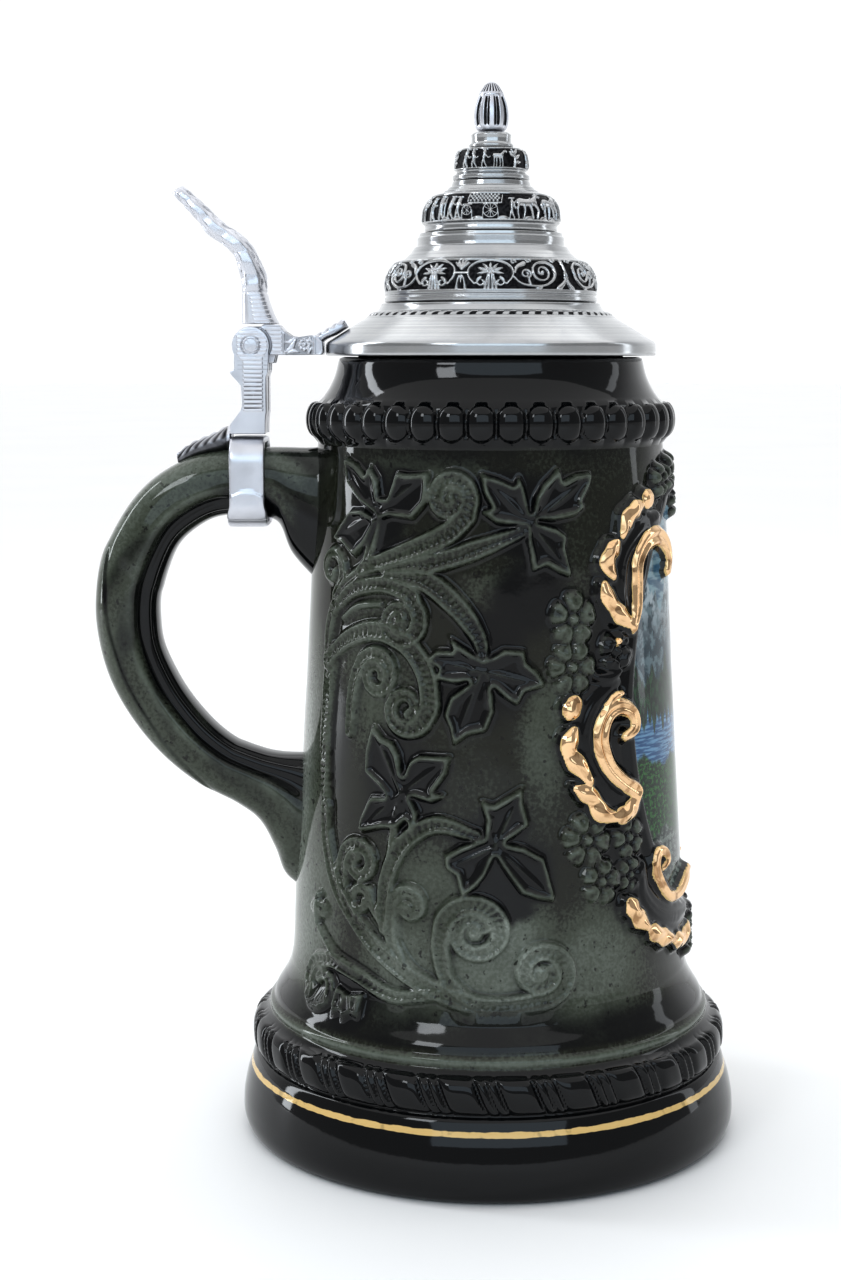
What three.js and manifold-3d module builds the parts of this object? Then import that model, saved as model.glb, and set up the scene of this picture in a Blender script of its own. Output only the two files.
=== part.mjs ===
// A lidded stein: a relief-moulded stoneware mug with a hinged, stepped pewter lid.
// Millimetres, +Z up. The origin is the centre of the base, the handle lies towards -X
// and the painted front of the mug faces +X.

import * as THREE from 'three';
import { mergeVertices } from 'three/addons/utils/BufferGeometryUtils.js';
import Module from 'manifold-3d';

const wasm = await Module();
wasm.setup();

// ---- driving dimensions ------------------------------------------------------------

const GAP = 0.3; // air kept between neighbouring solids
const OVERRUN = 1; // how far a cutter runs past what it cuts

// mug: [radius, height] points, bottom to top
const FOOT = [
  [61.5, 0], [64.6, 1.2], [66, 4.6], [66, 8], [65.2, 13], [63.7, 17.7], [62.6, 21.6],
];
const ROPE_BAND = [[63, 24], [63.1, 28.6], [60.8, 31.5]];
const SCOTIA = [[58.4, 34.9], [56.7, 38.3], [54.2, 41.6]];
const WALL = [
  [53, 44], [51.6, 70], [49.6, 100], [47.6, 135], [46.6, 155], [45, 182],
];
const BEAD_BAND = [[45.6, 184.6], [47.4, 187], [47.4, 190.6], [45.2, 193]];
const NECK = [[43.2, 195], [41.5, 198], [40.1, 201], [39.5, 204]];
const MUG_TOP = 205;
const LIP = [[38.8, 204.8], [37.4, MUG_TOP], [36, 204.6], [35.5, 203.5]];
const CAVITY = [
  [36.2, 198], [39.4, 192.5], [40.4, 184], [42, 150], [44.4, 105], [46.2, 60],
  [46.2, 26], [43.5, 17], [37, 12.6],
];
const CAVITY_FLOOR = 12;

// handle: side outline in the X, Z plane
const HANDLE_OUTER = [
  [-50, 181.5], [-68, 181.5], [-84.9, 176.1], [-94.8, 166.7], [-101.4, 154],
  [-103.6, 141], [-102, 128.4], [-95.8, 112.3], [-85.6, 99.3], [-72.2, 89.5],
  [-61.6, 83], [-57.6, 76.4], [-55.2, 70], [-50, 63.5],
];
const HANDLE_INNER = [
  [-52, 100.3], [-63.7, 102.6], [-73.2, 109.1], [-80.7, 118.8], [-85.3, 128.4],
  [-86.7, 138.1], [-85.2, 147.6], [-80.8, 157.2], [-72.8, 163.3], [-63, 163.9],
  [-56.5, 163.5], [-53.4, 158.8], [-51.6, 153], [-47.5, 147.6], [-42, 143.8],
];
const HANDLE_ROOT_X = -28;
const HANDLE_FOOT_Z = 54;
const HANDLE_ROOT_DROP = 9; // how far the inside line falls towards its upper root
const HANDLE_DEPTH = 21;
const HANDLE_EDGE_ROUND = 5.5;

// hinge
const HINGE_X = -61.9;
const HINGE_Z = 208;
const KNUCKLE_R = 4.8;
const PIN_R = 1.8;
const HINGE_WIDTH = 16;
const PIN_PROUD = 0.4; // how far the pin stands out at each end
const KNUCKLE_AIR = 0.5; // room round the lid's knuckles
const SLOT_TOP = 2; // how far the slots rise above the post
const POST_LEAF = 3.1; // outer leaf of the post
const MIDDLE_LEAF = 3; // middle leaf of the post

// strap round the handle
const STRAP_X = [-67.6, -58.2];
const STRAP_HALF_DEPTH = 12.6;
const STRAP_Z = [161.4, 185];
const STRAP_THICKNESS = 1.8;
const STRAP_BORE_Z = [162.8, 182.1];
const STRAP_CORNER = 6;
const STRAP_BORE_CORNER = 4.8;

// tail leaf on the back of the handle
const LEAF_SIDE = [
  [-82, 179.5], [-78.5, 182.4], [-73.2, 184.2], [-67.9, 187.4], [-67.9, 182.1], [-74, 181.4],
];
const LEAF_HALF_WIDTH = 6.5;
const LEAF_STRAIGHT_X = [-66, -70]; // where its edges are parallel
const LEAF_BEND_X = -77;
const LEAF_POINT_X = -83;
const LEAF_Z = [170, 195];

// post between the strap and the hinge: side outline below the knuckles
const POST_FOOT_Z = STRAP_Z[1] + GAP;
const POST_SIDE = [
  [-67.6, POST_FOOT_Z], [-58.2, POST_FOOT_Z], [-58.2, 189], [-57.9, 191], [-57.9, 200.4],
  [-57.3, 201.6], [-57.3, HINGE_Z], [-66.2, HINGE_Z], [-66.2, 201.4], [-67, 200.4],
  [-64.4, 199.4], [-64.2, 192], [-67.2, 190],
];

// lid: [radius, height] points
const RIM_R = 42.8;
const LID_BOTTOM = MUG_TOP + GAP;
const FLANGE_OUTER = [
  [RIM_R, LID_BOTTOM], [RIM_R, 208.6], [42.3, 208.9], [32.4, 215], [31.2, 216.2],
  [29.6, 216.6], [28.3, 218.6],
];
const FLANGE_INNER = [
  [25.8, 218.6], [27.2, 215.4], [30.8, 212.8], [32.3, 208], [32.3, 203.6], [34.3, 203.6],
  [34.4, LID_BOTTOM],
];
const LOWER_DOME_OUTER = [
  [27.5, 218.9], [27.5, 221.7], [27.4, 224], [26.2, 227.2], [24.4, 229.3], [22.6, 229.8],
  [20.6, 231.6], [18.9, 234], [18.4, 236.5],
];
const LOWER_DOME_INNER = [
  [16.4, 236.5], [16.9, 233.6], [20.8, 228.4], [24.6, 225], [25.4, 218.9],
];
const MIDDLE_DOME_OUTER = [
  [17, 236.8], [17, 238.7], [17.8, 239.2], [17.6, 242], [16.6, 244.6], [14.7, 246.2],
  [11.6, 247.4], [9.9, 249.7],
];
const MIDDLE_DOME_INNER = [
  [7.9, 249.7], [8.4, 247], [12.6, 244], [14.9, 241], [15, 236.8],
];
const UPPER_DOME = [
  [9.9, 250], [9.9, 251.2], [8.7, 252], [9.5, 252.6], [9.4, 255], [8.6, 257.4], [7.6, 258],
];
const COLLAR = [[5.7, 258.3], [5.6, 259.2], [5.1, 259.8], [5.1, 261.8], [4, 262.2]];
const BUD = [[3.2, 262.5], [4.4, 264], [4.5, 266.4], [4, 269.4], [2.9, 272.2], [1.6, 274.2]];
const TIP_Z = 275;
const UPPER_DOME_TOP = 258;
const COLLAR_TOP = 262.2;

// arm from the hinge to the lid: side outline and plan outline
const ARM_SIDE = [
  [-56.8, 205.5], [-42, 205.5], [-34, 209], [-36.6, 213.2], [-38, 214.6], [-45.6, 210.2],
  [-49.6, 210.1], [-52.7, 211.2], [-54.6, 213.3], [-56.8, 213.3],
];
const ARM_PLAN = [
  [-60, 7], [-52, 7], [-47.5, 4.9], [-40, 5.4], [-37, 4.2], [-35.4, 0],
];
const ARM_HALF_WIDTH = 8;
const ARM_Z = [200, 220];
const NECK_X = -56.4; // the knuckles' necks reach from the hinge line to here
const NECK_Z = [205.5, 212.6];

// thumb lift: side outline, bottom left to tip and back down
const THUMB_BACK = [
  [-64.4, 213.6], [-64.3, 225.4], [-66.5, 231.6], [-72.4, 235.6], [-77.6, 242.2], [-81.9, 246.6],
];
const THUMB_TIP = [-79.9, 248.6];
const THUMB_FRONT = [
  [-77.2, 246.6], [-70.4, 239.8], [-64.6, 236.2], [-59.8, 229.2], [-57.9, 221.5], [-56.6, 217],
];
const THUMB_TOE = [-54.6, 213.6];
const THUMB_WIDTH = 17;
const THUMB_EDGE_ROUND = 1.2;

// facets round a full circle
const MUG_SIDES = 56;
const LID_SIDES = 48;
const SMALL_SIDES = 28;
const PIN_SIDES = 20;

// ---- materials ---------------------------------------------------------------------

const glaze = () => new THREE.MeshStandardMaterial({ color: 0x2b302a, roughness: 0.15, metalness: 0 });
const pewter = () => new THREE.MeshStandardMaterial({ color: 0xb9bdbf, roughness: 0.35, metalness: 0.95 });

// ---- geometry helpers --------------------------------------------------------------

const vectors = (points) => points.map(([x, y]) => new THREE.Vector2(x, y));

// Shared vertices become one, and triangles that collapse on the axis are dropped.
function weld(geometry) {
  const bare = geometry.clone();
  bare.deleteAttribute('normal');
  bare.deleteAttribute('uv');
  const merged = mergeVertices(bare, 1e-4);
  const index = Array.from(merged.index.array);
  const kept = [];
  for (let i = 0; i < index.length; i += 3) {
    const [a, b, c] = index.slice(i, i + 3);
    if (a !== b && b !== c && c !== a) kept.push(a, b, c);
  }
  merged.setIndex(kept);
  return merged;
}

function toSolid(geometry) {
  const welded = weld(geometry);
  return new wasm.Manifold(new wasm.Mesh({
    numProp: 3,
    vertProperties: new Float32Array(welded.attributes.position.array),
    triVerts: new Uint32Array(welded.index.array),
  }));
}

function toGeometry(solid) {
  const mesh = solid.getMesh();
  const geometry = new THREE.BufferGeometry();
  geometry.setAttribute('position', new THREE.BufferAttribute(mesh.vertProperties, 3));
  geometry.setIndex(new THREE.BufferAttribute(mesh.triVerts, 1));
  geometry.computeVertexNormals();
  return geometry;
}

// Body of revolution about Z. The outline runs anticlockwise: up its outside, down its inside.
function revolve(points, sides) {
  const outline = vectors(points);
  const geometry = new THREE.LatheGeometry(outline, sides);
  geometry.rotateX(Math.PI / 2);
  return weld(geometry);
}

const revolveRing = (outer, inner, sides) => revolve([...outer, ...inner, outer[0]], sides);

function revolveSolid(points, topZ, sides) {
  const bottomZ = points[0][1];
  return revolve([[0, bottomZ], ...points, [0, topZ]], sides);
}

// An outline in X, Z made into a slab centred on Y = 0, or from one Y to another.
function slabXZ(shape, lowY, highY, bevel = 0) {
  const geometry = new THREE.ExtrudeGeometry(shape, {
    depth: highY - lowY - 2 * bevel,
    curveSegments: 3,
    bevelEnabled: bevel > 0,
    bevelThickness: bevel,
    bevelSize: bevel,
    bevelOffset: -bevel,
    bevelSegments: 3,
  });
  geometry.rotateX(Math.PI / 2);
  geometry.translate(0, highY - bevel, 0);
  return geometry;
}

// An outline in Y, Z made into a slab from one X to another.
function slabYZ(shape, lowX, highX) {
  const geometry = new THREE.ExtrudeGeometry(shape, {
    depth: highX - lowX,
    curveSegments: 5,
    bevelEnabled: false,
  });
  const turn = new THREE.Matrix4().makeBasis(
    new THREE.Vector3(0, 1, 0),
    new THREE.Vector3(0, 0, 1),
    new THREE.Vector3(1, 0, 0),
  );
  geometry.applyMatrix4(turn);
  geometry.translate(lowX, 0, 0);
  return geometry;
}

// An outline in X, Y made into a slab from one Z to another.
function slabXY(shape, lowZ, highZ) {
  const geometry = new THREE.ExtrudeGeometry(shape, {
    depth: highZ - lowZ,
    curveSegments: 4,
    bevelEnabled: false,
  });
  geometry.translate(0, 0, lowZ);
  return geometry;
}

// A plain cylinder along Y through the hinge line.
function hingeCylinder(radius, lowY, highY, sides) {
  const geometry = new THREE.CylinderGeometry(radius, radius, highY - lowY, sides);
  geometry.translate(HINGE_X, (lowY + highY) / 2, HINGE_Z);
  return geometry;
}

function roundedBox(halfY, lowZ, highZ, radius) {
  const shape = new THREE.Shape();
  shape.moveTo(-halfY + radius, lowZ);
  shape.lineTo(halfY - radius, lowZ);
  shape.absarc(halfY - radius, lowZ + radius, radius, -Math.PI / 2, 0);
  shape.lineTo(halfY, highZ - radius);
  shape.absarc(halfY - radius, highZ - radius, radius, 0, Math.PI / 2);
  shape.lineTo(-halfY + radius, highZ);
  shape.absarc(-halfY + radius, highZ - radius, radius, Math.PI / 2, Math.PI);
  shape.lineTo(-halfY, lowZ + radius);
  shape.absarc(-halfY + radius, lowZ + radius, radius, Math.PI, Math.PI * 1.5);
  return shape;
}

// A plan outline given for +Y and mirrored to -Y.
function mirroredPlan(points) {
  const back = points.filter(([, y]) => y > 0).map(([x, y]) => [x, -y]);
  return new THREE.Shape(vectors([...points, ...back.reverse()]));
}

// ---- sub-parts ---------------------------------------------------------------------

function mugBody() {
  const outside = [...FOOT, ...ROPE_BAND, ...SCOTIA, ...WALL, ...BEAD_BAND, ...NECK];
  const inside = [...LIP, ...CAVITY];
  return revolve([[0, 0], ...outside, ...inside, [0, CAVITY_FLOOR]], MUG_SIDES);
}

// The wall grown by the gap, for cutting the handle's roots.
function wallCutter() {
  const grown = WALL.map(([radius, z]) => [radius + GAP, z]);
  const [footRadius, footZ] = SCOTIA.at(-1);
  const foot = [footRadius + GAP, footZ];
  return toSolid(revolveSolid([foot, ...grown], WALL.at(-1)[1] + OVERRUN, MUG_SIDES));
}

function mugHandle() {
  const shape = new THREE.Shape();
  shape.moveTo(HANDLE_ROOT_X, HANDLE_OUTER[0][1]);
  shape.lineTo(...HANDLE_OUTER[0]);
  shape.splineThru(vectors(HANDLE_OUTER.slice(1)));
  shape.lineTo(HANDLE_ROOT_X, HANDLE_FOOT_Z);
  shape.lineTo(HANDLE_ROOT_X, HANDLE_INNER[0][1]);
  shape.lineTo(...HANDLE_INNER[0]);
  shape.splineThru(vectors(HANDLE_INNER.slice(1)));
  shape.lineTo(HANDLE_ROOT_X, HANDLE_INNER.at(-1)[1] - HANDLE_ROOT_DROP);
  const slab = slabXZ(shape, -HANDLE_DEPTH / 2, HANDLE_DEPTH / 2, HANDLE_EDGE_ROUND);
  return toGeometry(toSolid(slab).subtract(wallCutter()));
}

function handleStrap() {
  const shape = roundedBox(STRAP_HALF_DEPTH, STRAP_Z[0], STRAP_Z[1], STRAP_CORNER);
  const boreHalf = STRAP_HALF_DEPTH - STRAP_THICKNESS;
  shape.holes.push(roundedBox(boreHalf, ...STRAP_BORE_Z, STRAP_BORE_CORNER));
  return weld(slabYZ(shape, STRAP_X[0], STRAP_X[1]));
}

function strapLeaf() {
  const half = LEAF_HALF_WIDTH;
  const [nearX, farX] = LEAF_STRAIGHT_X;
  const outline = new THREE.Shape(vectors(LEAF_SIDE));
  const side = toSolid(slabXZ(outline, -half - OVERRUN, half + OVERRUN));
  const plan = new THREE.Shape();
  plan.moveTo(nearX, -half);
  plan.lineTo(nearX, half);
  plan.lineTo(farX, half);
  plan.quadraticCurveTo(LEAF_BEND_X, half, LEAF_POINT_X, 0);
  plan.quadraticCurveTo(LEAF_BEND_X, -half, farX, -half);
  return toGeometry(side.intersect(toSolid(slabXY(plan, ...LEAF_Z))));
}

// The space that the lid's knuckles turn in, between the leaves of the post.
function knuckleSlots() {
  const inner = MIDDLE_LEAF / 2;
  const outer = HINGE_WIDTH / 2 - POST_LEAF;
  const reach = KNUCKLE_R + KNUCKLE_AIR;
  const top = HINGE_Z + reach + SLOT_TOP;
  const slot = (lowY, highY) => {
    const shape = new THREE.Shape();
    shape.moveTo(HINGE_X - reach, top);
    shape.lineTo(HINGE_X - reach, HINGE_Z);
    shape.absarc(HINGE_X, HINGE_Z, reach, Math.PI, 2 * Math.PI);
    shape.lineTo(HINGE_X + reach, top);
    return toSolid(slabXZ(shape, lowY, highY));
  };
  return slot(inner, outer).add(slot(-outer, -inner));
}

function hingePost() {
  const half = HINGE_WIDTH / 2;
  const post = toSolid(slabXZ(new THREE.Shape(vectors(POST_SIDE)), -half, half));
  const knuckle = toSolid(hingeCylinder(KNUCKLE_R, -half, half, SMALL_SIDES));
  const boreEnd = half + OVERRUN;
  const bore = toSolid(hingeCylinder(PIN_R + GAP, -boreEnd, boreEnd, PIN_SIDES));
  return toGeometry(post.add(knuckle).subtract(knuckleSlots()).subtract(bore));
}

function hingePin() {
  const end = HINGE_WIDTH / 2 + PIN_PROUD;
  return weld(hingeCylinder(PIN_R, -end, end, PIN_SIDES));
}

// The flange grown by the gap, for fitting the arm on it.
function flangeCutter() {
  const grown = FLANGE_OUTER.map(([radius, z]) => [radius + GAP, z + GAP]);
  const foot = [RIM_R + GAP, ARM_Z[0]];
  return toSolid(revolveSolid([foot, ...grown.slice(1)], ARM_Z[1], LID_SIDES));
}

function lidArm() {
  const outline = new THREE.Shape(vectors(ARM_SIDE));
  const side = toSolid(slabXZ(outline, -ARM_HALF_WIDTH, ARM_HALF_WIDTH));
  const block = side.intersect(toSolid(slabXY(mirroredPlan(ARM_PLAN), ...ARM_Z)));
  const inner = MIDDLE_LEAF / 2 + GAP;
  const outer = HINGE_WIDTH / 2 - POST_LEAF - GAP;
  const [neckLow, neckHigh] = NECK_Z;
  const neck = new THREE.Shape(vectors([
    [HINGE_X, neckLow], [NECK_X, neckLow], [NECK_X, neckHigh], [HINGE_X, neckHigh],
  ]));
  const knuckle = (lowY, highY) => {
    const round = toSolid(hingeCylinder(KNUCKLE_R, lowY, highY, SMALL_SIDES));
    return round.add(toSolid(slabXZ(neck, lowY, highY)));
  };
  const boreEnd = ARM_HALF_WIDTH + OVERRUN;
  const bore = toSolid(hingeCylinder(PIN_R + GAP, -boreEnd, boreEnd, PIN_SIDES));
  const joined = block.add(knuckle(inner, outer)).add(knuckle(-outer, -inner));
  return toGeometry(joined.subtract(bore).subtract(flangeCutter()));
}

function thumbLift() {
  const shape = new THREE.Shape();
  shape.moveTo(...THUMB_TOE);
  shape.lineTo(...THUMB_BACK[0]);
  shape.splineThru(vectors([...THUMB_BACK.slice(1), THUMB_TIP, ...THUMB_FRONT]));
  return weld(slabXZ(shape, -THUMB_WIDTH / 2, THUMB_WIDTH / 2, THUMB_EDGE_ROUND));
}

// ---- the object --------------------------------------------------------------------

const stein = new THREE.Group();

function add(name, geometry, material) {
  const mesh = new THREE.Mesh(geometry, material);
  mesh.name = name;
  stein.add(mesh);
}

add('mug_body', mugBody(), glaze());
add('mug_handle', mugHandle(), glaze());
add('handle_strap', handleStrap(), pewter());
add('strap_leaf', strapLeaf(), pewter());
add('hinge_post', hingePost(), pewter());
add('hinge_pin', hingePin(), pewter());
add('lid_arm', lidArm(), pewter());
add('thumb_lift', thumbLift(), pewter());
add('lid_flange', revolveRing(FLANGE_OUTER, FLANGE_INNER, LID_SIDES), pewter());
add('lid_lower_dome', revolveRing(LOWER_DOME_OUTER, LOWER_DOME_INNER, LID_SIDES), pewter());
add('lid_middle_dome', revolveRing(MIDDLE_DOME_OUTER, MIDDLE_DOME_INNER, LID_SIDES), pewter());
add('lid_upper_dome', revolveSolid(UPPER_DOME, UPPER_DOME_TOP, SMALL_SIDES), pewter());
add('finial_collar', revolveSolid(COLLAR, COLLAR_TOP, SMALL_SIDES), pewter());
add('finial_bud', revolveSolid(BUD, TIP_Z, SMALL_SIDES), pewter());

export default stein;
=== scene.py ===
import math

import bpy
import numpy as np
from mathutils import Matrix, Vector


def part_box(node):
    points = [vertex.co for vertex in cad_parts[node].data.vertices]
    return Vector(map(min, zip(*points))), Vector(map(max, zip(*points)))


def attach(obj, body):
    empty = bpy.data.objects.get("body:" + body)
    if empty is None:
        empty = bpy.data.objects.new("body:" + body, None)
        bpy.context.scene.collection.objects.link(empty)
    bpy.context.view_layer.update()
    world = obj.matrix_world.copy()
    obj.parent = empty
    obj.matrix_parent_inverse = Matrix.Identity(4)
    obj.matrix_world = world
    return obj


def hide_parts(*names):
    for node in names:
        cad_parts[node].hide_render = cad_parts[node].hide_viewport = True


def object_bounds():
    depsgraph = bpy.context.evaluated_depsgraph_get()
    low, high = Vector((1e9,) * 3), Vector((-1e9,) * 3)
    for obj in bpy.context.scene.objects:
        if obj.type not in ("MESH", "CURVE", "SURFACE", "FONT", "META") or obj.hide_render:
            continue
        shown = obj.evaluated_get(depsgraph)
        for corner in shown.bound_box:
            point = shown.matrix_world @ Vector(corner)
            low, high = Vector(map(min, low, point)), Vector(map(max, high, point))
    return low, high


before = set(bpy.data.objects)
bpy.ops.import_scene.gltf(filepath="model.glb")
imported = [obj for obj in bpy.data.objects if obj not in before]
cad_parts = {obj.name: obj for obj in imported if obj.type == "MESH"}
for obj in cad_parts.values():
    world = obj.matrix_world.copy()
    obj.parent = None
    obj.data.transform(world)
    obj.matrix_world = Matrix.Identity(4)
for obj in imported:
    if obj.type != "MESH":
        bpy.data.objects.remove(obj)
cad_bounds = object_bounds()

# A lidded stein. Lengths below are in millimetres, in the frame's axes: +Z up, the handle
# towards -X, the painted front towards +X. Meshes are scaled to metres as they are made.
MM = 0.001
BODY_MUG, BODY_LID = "mug", "lid"


def node_box(node):
    """(lowest corner, highest corner) of a CAD node in millimetres."""
    low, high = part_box(node)
    return np.array(low) / MM, np.array(high) / MM


# ---- lines and soft steps ----


def rise(x, low, high):
    """From 0 at low to 1 at high, smoothly."""
    t = np.clip((x - low) / (high - low), 0, 1)
    return t * t * (3 - 2 * t)


def fall(x, low, high):
    return 1 - rise(x, low, high)


def plateau(x, start, full, leave, end):
    """Rises from 0 at start to 1 at full, and falls from leave to 0 at end."""
    return rise(x, start, full) * fall(x, leave, end)


def bell(x, width):
    return np.exp(-((x / width) ** 2))


def crest(angle):
    """A wave between 0 and 1, with its crest at 0."""
    return 0.5 + 0.5 * np.cos(angle)


def turn_around(angle):
    """The angle brought between -pi and pi."""
    return np.mod(angle + math.pi, 2 * math.pi) - math.pi


def run_length(points):
    """The distance along a polyline, at each of its points."""
    return np.r_[0, np.cumsum(np.linalg.norm(np.diff(points, axis=0), axis=1))]


def round_spot(centre, radius, degrees):
    """The points on a circle about centre; radius is one number, or one for each axis."""
    a = np.radians(degrees)
    across, up = (radius, radius) if np.ndim(radius) == 0 else radius
    return np.column_stack([centre[0] + across * np.cos(a), centre[1] + up * np.sin(a)])


def resample(points, step):
    """A polyline cut into equal steps of about the given length."""
    points = np.asarray(points, float)
    length = run_length(points)
    count = max(2, int(round(length[-1] / step)) + 1)
    at = np.linspace(0, length[-1], count)
    return np.column_stack([np.interp(at, length, column) for column in points.T])


def smooth_line(points, step):
    """A Catmull-Rom curve through the points, in equal steps."""
    p = np.asarray(points, float)
    if len(p) == 2:
        return resample(p, step)
    p = np.vstack([2 * p[0] - p[1], p, 2 * p[-1] - p[-2]])
    t = np.linspace(0, 1, 12, endpoint=False)[:, None]
    pieces = []
    for a, b, c, d in zip(p, p[1:], p[2:], p[3:]):
        pieces.append(0.5 * (2 * b + (c - a) * t + (2 * a - 5 * b + 4 * c - d) * t**2
                             + (3 * b - a - 3 * c + d) * t**3))
    return resample(np.vstack([*pieces, p[-2]]), step)


def coil(centre, radius, start, turns, end_radius):
    """Points of a flat spiral that winds inwards; start in degrees, turns positive anticlockwise."""
    count = max(6, int(abs(turns) * 12))
    r = np.linspace(radius, end_radius, count)
    return round_spot(centre, (r, r), start + np.linspace(0, turns * 360, count))


def ripple(x, y, z=0.0, *, seed):
    """A smooth, repeatable unevenness between about -1 and 1."""
    total = 0
    for k in range(4):
        a, b, c = math.sin(seed + 1.7 * k), math.cos(2.3 * seed + k), math.sin(0.9 * seed + 2.1 * k)
        total = total + np.sin((x * (1 + a) + y * (1 - b) + z * (1 + c)) * (1 + 0.6 * k) + 5 * a + seed)
    return total / 4


# ---- relief on an unrolled band ----


def round_top(q):
    return np.sqrt(np.clip(1 - q, 0, 1))


def round_section(q):
    return round_top(q * q)


def flat_section(q):
    return fall(q, 0.55, 1)


def rim_section(q):
    """Flat-topped, with a raised rim along each edge."""
    return (0.62 + 0.38 * bell(q - 0.74, 0.16)) * fall(q, 0.78, 1)


def pillow_section(q):
    return np.clip(1 - q**2.6, 0, 1) ** 0.5


def groove_section(q):
    """Round, with a groove down the middle."""
    return round_section(q) * (1 - 0.45 * bell(q, 0.22))


def oval(du, dv, size, turn=0.0):
    """The distance from an oval's centre, 1 on its outline; size is one half-width or two."""
    a, b = (size, size) if np.isscalar(size) else size
    c, s = math.cos(math.radians(turn)), math.sin(math.radians(turn))
    return np.hypot((du * c + dv * s) / a, (dv * c - du * s) / b)


def to_segment(u, v, start, end, limit=1.0):
    """The distance to a segment, and the share of its length, up to limit, where that is."""
    du, dv = end[0] - start[0], end[1] - start[1]
    t = np.clip(((u - start[0]) * du + (v - start[1]) * dv) / (du * du + dv * dv), 0, limit)
    return np.hypot(u - start[0] - t * du, v - start[1] - t * dv), t


class Relief:
    """Heights in mm on a band laid out flat: u runs along it and v across it, both in mm."""

    def __init__(self, u_range, v_range, step):
        self.u = np.arange(u_range[0], u_range[1] + step, step)
        self.v = np.arange(v_range[0], v_range[1] + step, step)
        self.step = step
        self.height = np.zeros((len(self.v), len(self.u)))
        self.layers = {}

    def layer(self, name):
        return self.layers.setdefault(name, np.zeros_like(self.height))

    def window(self, u, v, reach):
        i = np.searchsorted(self.v, [v - reach, v + reach])
        j = np.searchsorted(self.u, [u - reach, u + reach])
        return slice(i[0], i[1]), slice(j[0], j[1])

    def raise_to(self, rows, columns, height, layer, amount):
        part = self.height[rows, columns]
        np.maximum(part, height, out=part)
        if layer:
            mask = self.layer(layer)[rows, columns]
            np.maximum(mask, amount, out=mask)

    def stroke(self, route, width, height, section=round_section, notch=0, pitch=1.8,
               lean=1.2, layer=None):
        """A ridge along a smooth route. width is the half-width, one or several along the route;
        notch is how deep the slanting cuts across its middle are, as a share of its height."""
        path = smooth_line(route, self.step * 0.8)
        along = run_length(path)
        share = along / along[-1]
        widths = np.atleast_1d(np.asarray(width, float))
        half = np.interp(share, np.linspace(0, 1, len(widths)), widths)
        heading = np.gradient(path, axis=0)
        best = np.full(self.height.shape, 2.0)
        place = np.zeros_like(best)
        side = np.zeros_like(best)
        for (u, v), w, s, (hu, hv) in zip(path, half, along, heading):
            rows, columns = self.window(u, v, w)
            du = self.u[columns][None, :] - u
            dv = self.v[rows][:, None] - v
            q = np.hypot(du, dv) / w
            part = best[rows, columns]
            nearer = q < part
            part[nearer] = q[nearer]
            place[rows, columns][nearer] = s
            side[rows, columns][nearer] = np.sign(hu * dv - hv * du)[nearer]
        inside = best < 1
        shape = section(np.minimum(best, 1))
        if notch:
            wave = np.cos(2 * math.pi * place / pitch + lean * side * best)
            shape = shape * (1 - notch * 0.5 * (1 + wave) * fall(best, 0.45, 0.7))
        self.height = np.where(inside, np.maximum(self.height, height * shape), self.height)
        if layer:
            mask = self.layer(layer)
            np.maximum(mask, np.where(inside, fall(best, 0.8, 1), 0), out=mask)

    def bump(self, centre, size, height, turn=0.0, layer=None, base=0.0):
        """A round or oval boss; turn is its direction in degrees."""
        rows, columns = self.window(*centre, np.max(size))
        q = oval(self.u[columns][None, :] - centre[0], self.v[rows][:, None] - centre[1], size, turn)
        top = np.where(q < 1, base + height * round_section(np.minimum(q, 1)), 0)
        self.raise_to(rows, columns, top, layer, np.where(q < 1, fall(q, 0.8, 1), 0))

    def shade(self, centre, size, amount, layer):
        """A soft-edged spot of colour in a layer."""
        q = oval(self.u[None, :] - centre[0], self.v[:, None] - centre[1], size)
        mask = self.layer(layer)
        np.maximum(mask, amount * fall(q, 0.25, 1), out=mask)

    def sample(self, grid, u, v):
        """The grid's values at u and v, read between its points."""
        x = np.clip((u - self.u[0]) / self.step, 0, len(self.u) - 1.001)
        y = np.clip((v - self.v[0]) / self.step, 0, len(self.v) - 1.001)
        i, j = y.astype(int), x.astype(int)
        fy, fx = y - i, x - j
        low = grid[i, j] * (1 - fx) + grid[i, j + 1] * fx
        high = grid[i + 1, j] * (1 - fx) + grid[i + 1, j + 1] * fx
        return low * (1 - fy) + high * fy


# ---- meshes ----


def add_to_scene(name, data, place=(0, 0, 0)):
    obj = bpy.data.objects.new(name, data)
    obj.location = place
    bpy.context.scene.collection.objects.link(obj)
    return obj


def mesh_object(name, vertices, faces, attributes, uv):
    """A smooth-shaded object. vertices in mm; attributes are float values per vertex."""
    mesh = bpy.data.meshes.new(name)
    mesh.from_pydata((np.asarray(vertices) * MM).tolist(), [], faces)
    for key, values in attributes.items():
        layer = mesh.attributes.new(key, "FLOAT", "POINT")
        layer.data.foreach_set("value", np.asarray(values, np.float32).ravel())
    layer = mesh.uv_layers.new(name="OFBake")
    layer.data.foreach_set("uv", np.asarray(uv, np.float32).ravel())
    mesh.shade_smooth()
    mesh.update()
    return add_to_scene(name, mesh)


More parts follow.
